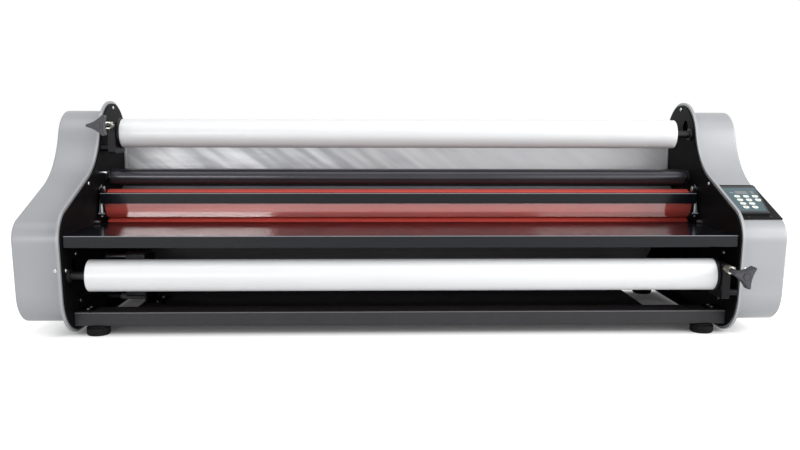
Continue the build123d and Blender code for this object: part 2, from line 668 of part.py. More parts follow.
def meshed_turn(teeth_a, turn_a, centre_a, teeth_b, centre_b):
    """The turn of gear b that puts a gap of it where a tooth of gear a stands."""
    line = math.atan2(centre_b[1] - centre_a[1], centre_b[0] - centre_a[0])
    pitch_a, pitch_b = 2 * math.pi / teeth_a, 2 * math.pi / teeth_b
    phase = ((line - turn_a) / pitch_a) % 1.0
    return line + math.pi - pitch_b * (0.5 - phase)


def make_gear(teeth, turn, centre, bore):
    """Teeth outside, with a hub towards the cover."""
    y, z = centre
    outer_x = -gear_inner_x - gear_width
    gear = slab(Pos(y, z) * (gear_face(teeth, turn) - Circle(bore)), -gear_inner_x, outer_x)
    return gear + ring_x(gear_hub_radius, bore, outer_x, outer_x - gear_hub_length, y, z)


gear_centres = {
    "lower_heat": (heat_y, heat_lower_z), "upper_heat": (heat_y, heat_upper_z),
    "transfer": (transfer_y, transfer_z), "motor": (pinion_y, pinion_z),
    "lower_pull": (pull_y, pull_lower_z), "upper_pull": (pull_y, pull_upper_z)}
gear_teeth = {"lower_heat": heat_teeth, "upper_heat": heat_teeth, "transfer": transfer_teeth,
              "motor": pinion_teeth, "lower_pull": pull_teeth, "upper_pull": pull_teeth}
gear_turns = {"lower_heat": 0.0}
for driver, driven in (("lower_heat", "upper_heat"), ("lower_heat", "transfer"), ("lower_heat", "motor"),
                       ("transfer", "lower_pull"), ("lower_pull", "upper_pull")):
    gear_turns[driven] = meshed_turn(gear_teeth[driver], gear_turns[driver], gear_centres[driver],
                                     gear_teeth[driven], gear_centres[driven])
gear_bores = {"lower_heat": heat_journal_radius, "upper_heat": heat_journal_radius,
              "transfer": transfer_pin_radius + shaft_play, "motor": pinion_shaft_radius,
              "lower_pull": pull_journal_radius, "upper_pull": pull_journal_radius}
for name, centre in gear_centres.items():
    gear = make_gear(gear_teeth[name], gear_turns[name], centre, gear_bores[name])
    if name == "motor":
        gear += rod_x(pinion_shaft_radius, motor_plate_x - gearbox_length - seat_gap,
                      -gear_inner_x - gear_width - gear_hub_length, *centre)
    parts[name + "_gear"] = gear


# Gear motor on its bracket

gearbox_y0, gearbox_y1 = pinion_y - gearbox_half_depth, pinion_y + gearbox_half_depth
gearbox = block(motor_plate_x - gearbox_length, motor_plate_x, gearbox_y0, gearbox_y1, gearbox_z0, gearbox_z1)
gearbox = chamfer(gearbox.edges().filter_by(Axis.X), gearbox_edge)
can_z = pinion_z - motor_can_drop
can_x1 = motor_plate_x + motor_plate_thick + motor_can_length
gearbox += rod_x(motor_neck_radius, motor_plate_x, motor_plate_x + motor_plate_thick, pinion_y, can_z)
gearbox += chamfer(rod_x(motor_can_radius, motor_plate_x + motor_plate_thick, can_x1, pinion_y, can_z)
                   .edges().group_by(Axis.X)[-1], motor_can_edge)
gearbox += rod_x(lead_tube_radius, motor_plate_x, -cheek_inner_x, lead_tube_y, lead_tube_z)
parts["gear_motor"] = gearbox + block(
    motor_plate_x - lead_block_length, motor_plate_x, lead_tube_y - lead_block_half_depth,
    lead_tube_y + lead_block_half_depth, lead_tube_z, gearbox_z0)
pan_top_z = rail_low_z + rail_sheet + pan_sheet
motor_plate = block(motor_plate_x, motor_plate_x + motor_plate_thick, motor_plate_y0, motor_plate_y1,
                    pan_top_z, motor_plate_z1)
motor_plate += block(motor_plate_x, motor_plate_x + motor_foot_length, motor_plate_y0, motor_plate_y1,
                     pan_top_z, pan_top_z + motor_plate_thick)
parts["motor_bracket"] = motor_plate - rod_x(
    motor_neck_radius, motor_plate_x - cut, motor_plate_x + motor_plate_thick + cut, pinion_y, can_z)


# Feed tray

tray_lip_z = tray_top_z - tray_lip_drop
tray = block(-tray_half_width, tray_half_width, tray_front_y, tray_rear_y,
             tray_top_z - tray_sheet, tray_top_z)
tray += block(-tray_half_width, tray_half_width, tray_front_y, tray_front_y + tray_sheet,
              tray_lip_z, tray_top_z)
tray += block(-tray_half_width, tray_half_width, tray_front_y, tray_front_y + tray_lip_return,
              tray_lip_z, tray_lip_z + tray_sheet)
tray += block(-tray_rear_half_width, tray_rear_half_width, tray_rear_y - tray_sheet, tray_rear_y,
              tray_top_z - tray_rear_drop, tray_top_z)
tray_bends = tray.edges().filter_by(Axis.X).filter_by(lambda e: abs(e.center().Y - tray_front_y) < near)
parts["feed_tray"] = fillet(tray_bends, tray_bend_radius)


# Heat shield

def make_arm(side):
    top = Pos(shield_pivot_y, shield_pivot_z) * Circle(arm_top_radius)
    low = Pos(arm_low_y, arm_low_z) * Circle(arm_low_radius)
    arm = slab(make_hull(top.edges() + low.edges()), side * arm_x, side * (arm_x + arm_thick))
    return arm - rod_x(pivot_bolt_radius + shaft_play, side * (arm_x - cut), side * (arm_x + arm_thick + cut),
                       shield_pivot_y, shield_pivot_z)


bar_top_z = bar_low_z + bar_height
bar = block(-arm_x, arm_x, bar_front_y, bar_front_y + bar_sheet, bar_low_z, bar_top_z)
bar += block(-arm_x, arm_x, bar_front_y, bar_front_y + bar_depth, bar_top_z - bar_sheet, bar_top_z)
bar = fillet(bar.edges().filter_by(Axis.X).filter_by(
    lambda e: abs(e.center().Y - bar_front_y) < near and e.center().Z > bar_low_z + near), bar_bend_radius)
window_y = bar_front_y + bar_sheet
window_pin_y = window_y - window_pin_radius - seat_gap
shield = bar
for side in (-1, 1):
    shield += make_arm(side)
    shield += rod_x(window_pin_radius, side * (arm_x - window_pin_inner),
                    side * (arm_x + arm_thick + window_pin_outer),
                    window_pin_y, window_low_z + window_pin_rise)
parts["heat_shield_frame"] = shield
parts["shield_window"] = block(
    -window_half_length, window_half_length, window_y, window_y + window_thick,
    window_low_z, bar_top_z - bar_sheet - window_top_gap)


# Pins on the cheeks: shield pivots, tray pins, the stop stud and the transfer gear's stud

def make_pivot_bolt(side):
    neck = rod_x(pivot_bolt_radius, side * (arm_x - seat_gap), side * cheek_inner_x,
                 shield_pivot_y, shield_pivot_z)
    head = rod_x(pivot_head_radius, side * (arm_x - seat_gap - pivot_head_thick), side * (arm_x - seat_gap),
                 shield_pivot_y, shield_pivot_z)
    head = chamfer(head.edges().filter_by(GeomType.CIRCLE), pivot_head_edge)
    collar = rod_x(pivot_collar_radius, side * (arm_x + arm_thick + seat_gap), side * cheek_inner_x,
                   shield_pivot_y, shield_pivot_z)
    return neck + head + collar


pins = [make_pivot_bolt(side) for side in (-1, 1)]
tray_pin_z = tray_top_z + tray_pin_radius + seat_gap
for side in (-1, 1):
    pins.append(rod_x(tray_pin_radius, side * (cheek_inner_x - tray_pin_length), side * cheek_inner_x,
                      tray_pin_y, tray_pin_z))
pins.append(rod_x(tray_pin_radius, -cheek_inner_x, -cheek_inner_x + stop_stud_length,
                  stop_stud_y, stop_stud_z))
pins.append(
    rod_x(transfer_pin_radius, -cheek_outer_x, -gear_inner_x - gear_width - gear_hub_length - seat_gap,
          transfer_y, transfer_z)
    + rod_x(transfer_collar_radius, -cheek_outer_x, -gear_inner_x + seat_gap, transfer_y, transfer_z))
parts["pivot_pins"] = group(pins)


# Control panel on the right cover's slope. Its own plane has x across, y up the slope and z outward.

slope_start_y = nose_y + nose_tangent * math.cos(slope) + cover_inset * math.sin(slope)
slope_start_z = nose_z + nose_tangent * math.sin(slope) - cover_inset * math.cos(slope)
panel_plane = Plane(origin=(0, slope_start_y, slope_start_z), x_dir=(1, 0, 0),
                    z_dir=(0, -math.sin(slope), math.cos(slope)))


def on_panel(face, low, high):
    """A face drawn in the panel's plane, made solid from low to high above the cover."""
    return extrude(panel_plane.offset(low) * face, amount=high - low)


def rect(x0, x1, s0, s1):
    return Pos((x0 + x1) / 2, (s0 + s1) / 2) * Rectangle(x1 - x0, s1 - s0)


def key_place(index):
    places = [(housing_x0 + x, s) for s, count in zip(key_rows, key_row_counts)
              for x in key_columns[:count]]
    return Pos(*places[index])


key_count = sum(key_row_counts)
key_face = RectangleRounded(key_width, key_height, key_corner_radius)
key_hole = RectangleRounded(key_width + 2 * seat_gap, key_height + 2 * seat_gap, key_corner_radius + seat_gap)
plate_top = control_plate_thick
housing_top = plate_top + housing_thick
membrane_top = housing_top + membrane_thick
housing_face = make_face(Polyline(
    (housing_x0, housing_s0), (housing_x0 + housing_width_low, housing_s0),
    (housing_x0 + housing_width_high, housing_s1),
    (housing_x0, housing_s1), close=True))
membrane_face = offset(housing_face, amount=-membrane_inset, kind=Kind.INTERSECTION)
key_floor = membrane_top + key_rise - key_length - key_travel - seat_gap
housing = on_panel(housing_face, plate_top, housing_top)
housing = fillet(housing.faces().sort_by(Axis.Z)[-1].edges(), housing_edge_radius)
membrane_face -= rect(display_x0, display_x1, display_s0, display_s1)
membrane_face -= rect(lamp_window_x0, lamp_window_x1, display_s0, display_s1)
for index in range(key_count):
    housing -= on_panel(key_place(index) * key_hole, key_floor, housing_top + cut)
    membrane_face -= key_place(index) * key_hole
    parts[f"key_{index + 1}"] = on_panel(
        key_place(index) * key_face, membrane_top + key_rise - key_length, membrane_top + key_rise)
parts["control_base_plate"] = on_panel(
    rect(control_x0, control_x1, -control_plate_overhang, slope_length - seat_gap), 0, control_plate_thick)
parts["control_housing"] = housing
parts["control_membrane"] = on_panel(membrane_face, housing_top, membrane_top)
parts["control_display"] = group([
    on_panel(rect(x0, x1, display_s0, display_s1), housing_top, housing_top + display_rise)
    for x0, x1 in ((display_x0, display_x1), (lamp_window_x0, lamp_window_x1))])


# Circuit board on four posts

board = block(board_x, board_x + board_thick, board_y0, board_y1, board_z0, board_z1)
for y in (board_y0 + board_post_inset, board_y1 - board_post_inset):
    for z in (board_z0 + board_post_inset, board_z1 - board_post_inset):
        board += rod_x(board_post_radius, cheek_outer_x, board_x, y, z)
board_top = board_x + board_thick
for height, width, tall, y, z in board_blocks:
    board += block(board_top, board_top + height, board_y0 + y, board_y0 + y + width,
                   board_z0 + z, board_z0 + z + tall)
for index in range(capacitor_count):
    board += rod_x(capacitor_radius, board_top, board_top + capacitor_height,
                   board_y0 + capacitor_y + index * capacitor_pitch, board_z0 + capacitor_z)
parts["circuit_board"] = board


# Mains inlet and rocker switch in the right cover's rear wall

wall_y = tail_y - cover_inset
flange_y = wall_y + inlet_flange_thick
inlet = block(inlet_x - inlet_width / 2, inlet_x + inlet_width / 2, wall_y, flange_y,
              inlet_z - inlet_height / 2, inlet_z + inlet_height / 2)
inlet = fillet(inlet.edges().filter_by(Axis.Y), inlet_corner_radius)
inlet += block(inlet_x - inlet_body_width / 2, inlet_x + inlet_body_width / 2,
               wall_y - inlet_body_depth, wall_y,
               inlet_z - inlet_body_height / 2, inlet_z + inlet_body_height / 2)
socket_z = inlet_z - inlet_socket_drop
socket_floor_y = flange_y - inlet_socket_depth
inlet -= block(inlet_x - inlet_socket_width / 2, inlet_x + inlet_socket_width / 2,
               socket_floor_y, flange_y + cut,
               socket_z - inlet_socket_height / 2, socket_z + inlet_socket_height / 2)
for dx, dz in blade_places:
    inlet += block(inlet_x + dx - blade_width / 2, inlet_x + dx + blade_width / 2,
                   socket_floor_y, socket_floor_y + blade_length,
                   socket_z + dz - blade_thick / 2, socket_z + dz + blade_thick / 2)
switch_y, switch_z = flange_y - switch_pivot_depth, inlet_z + switch_rise
switch_reach = math.hypot(switch_half_height, switch_high)
switch_floor_y = switch_y - switch_half_height * math.sin(2 * switch_tilt) - switch_well_clear
switch_x0, switch_x1 = inlet_x - switch_width / 2, inlet_x + switch_width / 2
inlet -= block(switch_x0 - seat_gap, switch_x1 + seat_gap, switch_floor_y, flange_y + cut,
               switch_z - switch_reach - seat_gap, switch_z + switch_reach + seat_gap)
inlet -= rod_x(switch_pin_radius + shaft_play, switch_x0 - switch_pin_length - seat_gap,
               switch_x1 + switch_pin_length + seat_gap, switch_y, switch_z)
parts["power_inlet"] = inlet
rocker = make_face(Polyline(
    (0.0, -switch_half_height), (switch_low, -switch_half_height), (switch_front, 0.0),
    (switch_high, switch_half_height), (0.0, switch_half_height), close=True))
parts["power_switch"] = (
    slab(Pos(switch_y, switch_z) * rocker, switch_x0, switch_x1)
    + rod_x(switch_pin_radius, switch_x0 - switch_pin_length, switch_x1 + switch_pin_length,
            switch_y, switch_z))


# Screws

def cheek_screw(side, y, z):
    """A round head on the cheek's inner face."""
    return rod_x(screw_head_radius, side * (cheek_inner_x - screw_head_height), side * cheek_inner_x, y, z)


screws = [cheek_screw(side, y, z) for side in (-1, 1) for y, z in cheek_screw_places]
for side in (-1, 1):
    for angle_y in angle_ys:
        top, leg_x = rail_high_z + angle_sheet, cheek_inner_x - angle_sheet
        screws.append(rod_x(screw_head_radius, side * (leg_x - screw_head_height), side * leg_x,
                            angle_y + angle_width / 2, rail_high_z + angle_screw_up))
        for along in angle_screw_shares:
            screws.append(rod_z(screw_head_radius, top, top + screw_head_height,
                                side * (cheek_inner_x - angle_screw_in), angle_y + angle_width * along))
for along in motor_screw_shares:
    y = motor_plate_y0 + (motor_plate_y1 - motor_plate_y0) * along
    top = pan_top_z + motor_plate_thick
    screws.append(rod_z(screw_head_radius, top, top + screw_head_height,
                        motor_plate_x + motor_screw_in, y))
for inset in plate_screw_insets:
    screws.append(on_panel(Pos(control_x0 + inset, plate_screw_s) * Circle(small_head_radius),
                           plate_top, plate_top + small_head_height))
parts["screws"] = group(screws)


# Move everything so that the origin is the middle of the footprint, and write it out
lows, highs = [], []
for shape in parts.values():
    box = shape.bounding_box()
    lows.append(box.min.Y)
    highs.append(box.max.Y)
centre_y = (min(lows) + max(highs)) / 2
print("centre_y", round(centre_y, 4))
os.makedirs("parts", exist_ok=True)
for name, shape in parts.items():
    solids = [Pos(0, -centre_y, 0) * solid for solid in shape.solids()]
    export_step(solids[0] if len(solids) == 1 else Compound(solids), f"parts/{name}.step")
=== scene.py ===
# %% [markdown]
# # A wide roll laminator
# The machine carries two rolls of film between black side plates, presses them onto a sheet between
# heated rollers, and pulls the sandwich out at the back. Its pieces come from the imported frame. This
# notebook gives each of them its finish, adds the small things that a solid model leaves out, and sets
# up a plain studio round it. The machine stands on z = 0 and its front looks towards negative y.

# %% Load the frame
import math

import bmesh
import bpy
from mathutils import Matrix, Vector


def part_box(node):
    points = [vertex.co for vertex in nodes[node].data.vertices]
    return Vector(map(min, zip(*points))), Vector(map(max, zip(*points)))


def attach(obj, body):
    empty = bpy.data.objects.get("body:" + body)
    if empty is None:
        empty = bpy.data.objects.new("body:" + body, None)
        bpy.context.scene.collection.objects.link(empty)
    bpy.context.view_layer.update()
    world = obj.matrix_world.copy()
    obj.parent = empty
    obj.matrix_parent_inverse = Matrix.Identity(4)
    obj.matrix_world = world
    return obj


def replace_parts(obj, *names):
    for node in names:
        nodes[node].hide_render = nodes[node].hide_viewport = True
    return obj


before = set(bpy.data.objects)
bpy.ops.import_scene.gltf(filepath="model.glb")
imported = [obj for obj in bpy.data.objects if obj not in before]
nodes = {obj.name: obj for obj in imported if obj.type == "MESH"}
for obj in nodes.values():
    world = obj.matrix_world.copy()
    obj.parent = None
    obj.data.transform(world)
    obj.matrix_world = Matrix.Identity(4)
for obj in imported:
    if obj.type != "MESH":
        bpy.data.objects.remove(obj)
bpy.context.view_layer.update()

MM = 0.001
SIDES = (-1, 1)     # left and right, seen from the front

# %% [markdown]
# ## Colours and nodes
# Colours are written as they look on screen, in sRGB hex, and Blender wants linear light, so one
# function turns one into the other. A second one adds a node with its settings and links, a third finds
# a node again, and a fourth starts a material with its shader. Every finish below is made of these.

# %% Helpers for materials
MIX_A, MIX_B, MIX_RESULT = 6, 7, 2     # the colour sockets of a Mix node


def to_linear(code):
    """An sRGB hex colour as linear RGBA."""
    channels = [int(code[i:i + 2], 16) / 255 for i in (1, 3, 5)]
    linear = [c / 12.92 if c <= 0.04045 else ((c + 0.055) / 1.055) ** 2.4 for c in channels]
    return (*linear, 1.0)


def add_node(tree, kind, inputs=None, **settings):
    """Adds a node: settings go on the node itself, inputs on its sockets, as a value or a link."""
    node = tree.nodes.new(kind)
    for name, value in settings.items():
        setattr(node, name, value)
    for key, value in (inputs or {}).items():
        if isinstance(value, bpy.types.NodeSocket):
            tree.links.new(value, node.inputs[key])
        else:
            node.inputs[key].default_value = value
    return node


def find_node(tree, kind):
    """The first node of a type in a tree."""
    return next(node for node in tree.nodes if node.type == kind)


def start_material(name, sockets):
    """A material with one shader, whose uniform values are set on its own sockets."""
    material = bpy.data.materials.new(name)
    material.use_nodes = True
    tree = material.node_tree
    tree.nodes.clear()
    shader = add_node(tree, "ShaderNodeBsdfPrincipled", sockets)
    add_node(tree, "ShaderNodeOutputMaterial", {"Surface": shader.outputs[0]})
    return material, tree, shader


print("the grey #808080 is", round(to_linear("#808080")[0], 3), "in linear light")

# %% [markdown]
# ## One recipe for coats and mouldings
# Paint, powder and moulded plastic differ in three things: how the colour drifts over a hand's breadth,
# how coarse the grain of the surface is, and how glossy it is. A noise texture in object coordinates
# gives the drift. A second, finer one gives the grain, as relief and as a slight change of gloss. All
# lengths are real ones in millimetres. Grain under 2 mm is finer than a pixel of the whole view, where
# it only softens the gloss, and it shows from near by.

# %% The recipe
def surface(name, dark, light, drift_mm, grain_mm, depth_mm, roughness, unevenness, sockets=None,
            stretch=(1.0, 1.0, 1.0)):
    """A finish from two tones, the length of its colour drift, its grain and its gloss."""
    material, tree, shader = start_material(name, sockets or {})
    place = add_node(tree, "ShaderNodeTexCoord").outputs["Object"]
    turned = add_node(tree, "ShaderNodeMapping", {"Vector": place, "Scale": stretch}).outputs[0]
    drift = add_node(tree, "ShaderNodeTexNoise", {
        "Vector": place, "Scale": 1 / (drift_mm * MM), "Detail": 3.0, "Roughness": 0.6})
    tones = add_node(tree, "ShaderNodeMix", {
        0: drift.outputs["Fac"], MIX_A: to_linear(dark), MIX_B: to_linear(light)}, data_type="RGBA")
    grain = add_node(tree, "ShaderNodeTexNoise", {
        "Vector": turned, "Scale": 1 / (grain_mm * MM), "Detail": 2.0, "Roughness": 0.5})
    gloss = add_node(tree, "ShaderNodeMapRange", {
        "Value": grain.outputs["Fac"],
        "To Min": roughness - unevenness, "To Max": roughness + unevenness})
    relief = add_node(tree, "ShaderNodeBump", {
        "Height": grain.outputs["Fac"], "Distance": depth_mm * MM, "Strength": 1.0})
    tree.links.new(tones.outputs[MIX_RESULT], shader.inputs["Base Color"])
    tree.links.new(gloss.outputs[0], shader.inputs["Roughness"])
    tree.links.new(relief.outputs[0], shader.inputs["Normal"])
    return material


def dress(material, *names):
    """Gives CAD nodes this finish in all their slots."""
    for name in names:
        for slot in nodes[name].material_slots:
            slot.material = material
    print(material.name, "on", len(names))

# %% [markdown]
# ## Painted sheet metal
# The side plates are steel with a matte black powder coat, which has a faint orange peel. The base rails
# have a coarser, wrinkled coat that hides scratches. The folded sheets between the plates are stoved in a
# smoother satin black, so they mirror the rollers softly. The brackets have a plain semi-matte enamel.

# %% Black coats
powder_coat = surface(
    "black_powder_coat", "#060607", "#0C0C0D", 80, 1.6, 0.05, 0.55, 0.06, {"Specular IOR Level": 0.06})
wrinkle_coat = surface(
    "wrinkle_powder_coat", "#1D1C1F", "#2C2A2D", 60, 2.6, 0.35, 0.62, 0.08, {"Specular IOR Level": 0.4})
folded_enamel, stove_enamel = [
    surface(name, "#090B10", "#0E1117", 200, 8.0, 0.004, 0.17, 0.02, {"Specular IOR Level": 0.26})
    for name in ("folded_stove_enamel", "satin_stove_enamel")]
bracket_enamel = surface(
    "bracket_enamel", "#0A0A0C", "#111114", 30, 1.0, 0.04, 0.36, 0.05, {"Specular IOR Level": 0.14})
dress(powder_coat, "left_cheek", "right_cheek", "angle_brackets")
dress(wrinkle_coat, "base_rails", "base_pan")
dress(folded_enamel, "feed_tray", "heat_shield_frame")
dress(stove_enamel, "lower_guide_panel", "rear_lower_panel")
dress(bracket_enamel, "brake_brackets", "motor_bracket")

# %% [markdown]
# Where a folded sheet or channel bends from its front to its top, a fine pale line is painted into the
# coat: a painted highlight, the light that such a bend catches. The bend could be a piece of its own. But
# the solid model already has its radius, so the finish finds it: there the surface's normal points to the
# front and up at once.

# %% Painted highlights on bends
BEND_STARTS, BEND_FULL = -0.1, -0.3     # the normal's y times its z, which is 0 on front and top


def colour_of(material):
    """A finish's tree, its shader, and the socket that its colour comes from."""
    tree = material.node_tree
    shader = find_node(tree, "BSDF_PRINCIPLED")
    return tree, shader, shader.inputs["Base Color"].links[0].from_socket


def rub_bends(material, tone):
    """Paints a lighter tone, a highlight, where a sheet bends from its front to its top."""
    tree, shader, coat = colour_of(material)
    sides = add_node(tree, "ShaderNodeSeparateXYZ", {
        0: add_node(tree, "ShaderNodeTexCoord").outputs["Normal"]})
    slant = add_node(tree, "ShaderNodeMath", {
        0: sides.outputs["Y"], 1: sides.outputs["Z"]}, operation="MULTIPLY")
    bend = add_node(tree, "ShaderNodeMapRange", {
        "Value": slant.outputs[0], "From Min": BEND_STARTS, "From Max": BEND_FULL})
    # painted highlight: the pale tone mixed over the coat at the bend
    highlighted = add_node(tree, "ShaderNodeMix", {
        0: bend.outputs[0], MIX_A: coat, MIX_B: to_linear(tone)}, data_type="RGBA")
    tree.links.new(highlighted.outputs[MIX_RESULT], shader.inputs["Base Color"])
    print(material.name, "rubbed to", tone)


# painted highlights where the tray, the shield's frame, the rails and the pan bend
rub_bends(folded_enamel, "#7E8086")
rub_bends(wrinkle_coat, "#6E6E72")

# %% [markdown]
# ## Side covers
# The side covers are moulded ABS with a silver metallic spray: a grey base full of aluminium flakes. A
# little metallic reflection in the shader, under a thin clear coat, gives the soft sheen of such paint.

# %% Silver covers
silver_spray = surface("silver_metallic_spray", "#939598", "#9FA1A4", 160, 1.2, 0.02, 0.40, 0.05,
                       {"Metallic": 0.22, "Coat Weight": 0.2, "Coat Roughness": 0.25})
dress(silver_spray, "left_cover", "right_cover")

# %% [markdown]
# ## Wound film
# Clear film wound a thousand times over looks white, with a smooth glossy skin that light enters a
# little. A roll's ends show its layers as rings round a cardboard core, so the finish looks at which way
# a face points and how far it lies from the roll's axis. Each roll has its own axis, and so its own
# finish. Real layers are far too fine to show, and are drawn as bands of about a millimetre.

# %% Film rolls
CORE_RADIUS, LAYER = 17.2, 0.9     # mm
END_FACE = 0.7     # a normal that lies along the roll more than this is an end's


def wound_film(name, roll):
    """A white skin, and layers round a core where a face looks along the roll."""
    material = surface(name, "#DCDEE0", "#E4E5E6", 200, 5.0, 0.01, 0.32, 0.03,
                       {"Coat Weight": 0.2, "Coat Roughness": 0.12, "Subsurface Weight": 0.35,
                        "Subsurface Radius": (0.02, 0.02, 0.02), "Subsurface Scale": 1.0})
    tree, shader, skin = colour_of(material)
    low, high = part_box(roll)
    place = add_node(tree, "ShaderNodeTexCoord").outputs["Object"]
    away = add_node(tree, "ShaderNodeVectorMath", {0: place, 1: (low + high) / 2}, operation="SUBTRACT")
    across = add_node(tree, "ShaderNodeVectorMath", {
        0: away.outputs[0], 1: (0, 1, 1)}, operation="MULTIPLY")
    radius = add_node(tree, "ShaderNodeVectorMath", {0: across.outputs[0]}, operation="LENGTH")
    layers = add_node(tree, "ShaderNodeTexNoise", {
        "W": radius.outputs["Value"], "Scale": 1 / (LAYER * MM), "Detail": 2.0}, noise_dimensions="1D")
    rings = add_node(tree, "ShaderNodeMix", {
        0: layers.outputs["Fac"], MIX_A: to_linear("#B9BDC2"), MIX_B: to_linear("#F4F5F6")},
        data_type="RGBA")
    core = add_node(tree, "ShaderNodeMath", {
        0: radius.outputs["Value"], 1: CORE_RADIUS * MM}, operation="LESS_THAN")
    face = add_node(tree, "ShaderNodeMix", {
        0: core.outputs[0], MIX_A: rings.outputs[MIX_RESULT], MIX_B: to_linear("#8C7557")},
        data_type="RGBA")
    normal = add_node(tree, "ShaderNodeNewGeometry").outputs["True Normal"]
    sides = add_node(tree, "ShaderNodeSeparateXYZ", {0: normal})
    size = add_node(tree, "ShaderNodeMath", {0: sides.outputs["X"]}, operation="ABSOLUTE")
    end = add_node(tree, "ShaderNodeMath", {0: size.outputs[0], 1: END_FACE}, operation="GREATER_THAN")
    both = add_node(tree, "ShaderNodeMix", {
        0: end.outputs[0], MIX_A: skin, MIX_B: face.outputs[MIX_RESULT]}, data_type="RGBA")
    tree.links.new(both.outputs[MIX_RESULT], shader.inputs["Base Color"])
    return material


for roll in ("upper_film_roll", "lower_film_roll"):
    dress(wound_film("wound_" + roll, roll), roll)

# %% [markdown]
# ## Rollers and rubber
# The heated rollers wear ground red silicone and the pull rollers ground black rubber, both with a soft
# shine. The idlers are black anodised tubes, which keep a metallic gleam, and the mandrels are steel
# with a thin black oxide. The feet are moulded rubber, dull all over.

# %% Rollers and feet
black_anodising = surface(
    "black_anodised_tube", "#313136", "#3E3E44", 90, 1.0, 0.01, 0.22, 0.04, {"Metallic": 0.5})
red_silicone = surface("ground_red_silicone", "#B0433B", "#C04F45", 70, 0.8, 0.03, 0.36, 0.05)
black_rubber = surface("moulded_black_rubber", "#0A0A0C", "#101012", 40, 1.2, 0.08, 0.72, 0.06,
                       {"Specular IOR Level": 0.15})
pull_rubber = surface("ground_black_rubber", "#48484D", "#545459", 60, 0.7, 0.02, 0.34, 0.05)
mandrel_oxide = surface(
    "black_oxide_steel", "#0A0A0B", "#121214", 50, 1.0, 0.02, 0.46, 0.06, {"Specular IOR Level": 0.3})
dress(black_anodising, "upper_idler", "lower_idler")
dress(red_silicone, "upper_heat_sleeve", "lower_heat_sleeve")
dress(pull_rubber, "upper_pull_roller", "lower_pull_roller")
dress(black_rubber, "rubber_feet")
dress(mandrel_oxide, "upper_mandrel", "lower_mandrel")

# %% [markdown]
# ## Bare and plated metal
# Turned and ground parts show fine rings, which a grain pressed thin along the machine's axis gives. The
# screws are zinc plated, bright, or a darker grey on the base, or blackened. Zinc on the brake nuts has a
# pale yellow passivation, and the gears keep the grey of hobbed steel. The bearings' shells are black
# acetal.

# %% Metals
TURNED = (6.0, 1.0, 1.0)     # six times as fine along the axis as round it
bright_steel = surface(
    "bright_zinc_screw_steel", "#B9BABC", "#D2D3D5", 10, 0.6, 0.01, 0.28, 0.06, {"Metallic": 1.0})
dull_zinc = surface(
    "dull_zinc_screw_steel", "#5E5F62", "#77787B", 10, 0.6, 0.01, 0.38, 0.06, {"Metallic": 0.9})
black_screw = surface(
    "blackened_screw_steel", "#141416", "#1E1E20", 10, 0.6, 0.01, 0.34, 0.06, {"Metallic": 0.4})
gear_steel = surface(
    "hobbed_gear_steel", "#7E8083", "#96989B", 14, 0.7, 0.02, 0.36, 0.06, {"Metallic": 1.0})
turned_aluminium = surface(
    "turned_aluminium", "#B4B6B8", "#C6C8CA", 40, 0.5, 0.01, 0.32, 0.05, {"Metallic": 1.0}, TURNED)
bearing_acetal = surface("black_acetal_bearing", "#101012", "#1A1A1C", 8, 0.5, 0.02, 0.40, 0.06)
yellow_zinc = surface(
    "yellow_passivated_zinc", "#C8C4B4", "#DAD8CE", 6, 0.8, 0.01, 0.28, 0.05, {"Metallic": 0.9})
dress(bright_steel, "screws", "pivot_pins")
dress(gear_steel, *[name for name in nodes if name.endswith("_gear")])
dress(turned_aluminium, "upper_heat_core", "lower_heat_core", "heater_rods", "heater_brackets")
dress(bearing_acetal, "roller_bearings")
dress(yellow_zinc, "brake_nuts")

# %% [markdown]
# ## Rear panel
# The rear panel is a bright satin sheet with a gently wavy skin. The waves are broad and shallow and run
# aslant. The soft diagonal bands where light breaks on them are a painted reflection in the sheet's
# colour:
# a noise that is drawn out and turned. One Mapping node scales before it turns, so it takes two. The
# bands are strong at the left and fade into one even tone at the right, and they take the place of the
# recipe's colour drift.

# %% Sheet with a painted reflection
STREAK_SLANT = -36.0     # degrees: they fall from upper left to lower right
STREAK_LENGTH, STREAK_WIDTH = 400 / 3, 50 / 3     # mm
FADE_FROM, FADE_TO, FADED = -0.15, 0.2, 0.15     # metres across the machine, and the share that stays
EVEN_TONE = 0.68     # between the dark tone, 0, and the light one, 1
rear_sheet = surface("satin_silver_sheet", "#B0B2B6", "#E2E3E6", 90, 60, 0.9, 0.34, 0.05,
                     {"Metallic": 0.15}, (1.0, 1.0, 2.4))
sheet_tree, _, sheet_colour = colour_of(rear_sheet)
sheet_place = add_node(sheet_tree, "ShaderNodeTexCoord").outputs["Object"]
turned = add_node(sheet_tree, "ShaderNodeMapping", {
    "Vector": sheet_place, "Rotation": (0.0, math.radians(STREAK_SLANT), 0.0)})
drawn_out = add_node(sheet_tree, "ShaderNodeMapping", {
    "Vector": turned.outputs[0], "Scale": (1.0, 1.0, STREAK_LENGTH / STREAK_WIDTH)})
# painted reflection: diagonal bands of light in the sheet's colour
painted_streaks = add_node(sheet_tree, "ShaderNodeTexNoise", {
    "Vector": drawn_out.outputs[0], "Scale": 1 / (STREAK_LENGTH * MM), "Detail": 1.0, "Roughness": 0.4})
contrast = add_node(sheet_tree, "ShaderNodeMapRange", {
    "Value": painted_streaks.outputs["Fac"], "From Min": 0.31, "From Max": 0.69})
across = add_node(sheet_tree, "ShaderNodeSeparateXYZ", {0: sheet_place}).outputs[0]
fade = add_node(sheet_tree, "ShaderNodeMapRange", {
    "Value": across, "From Min": FADE_FROM, "From Max": FADE_TO, "To Min": 1.0, "To Max": FADED})
calm = add_node(sheet_tree, "ShaderNodeMix", {0: fade.outputs[0], 2: EVEN_TONE, 3: contrast.outputs[0]})
sheet_tree.links.new(calm.outputs[0], sheet_colour.node.inputs[0])
dress(rear_sheet, "rear_upper_panel")

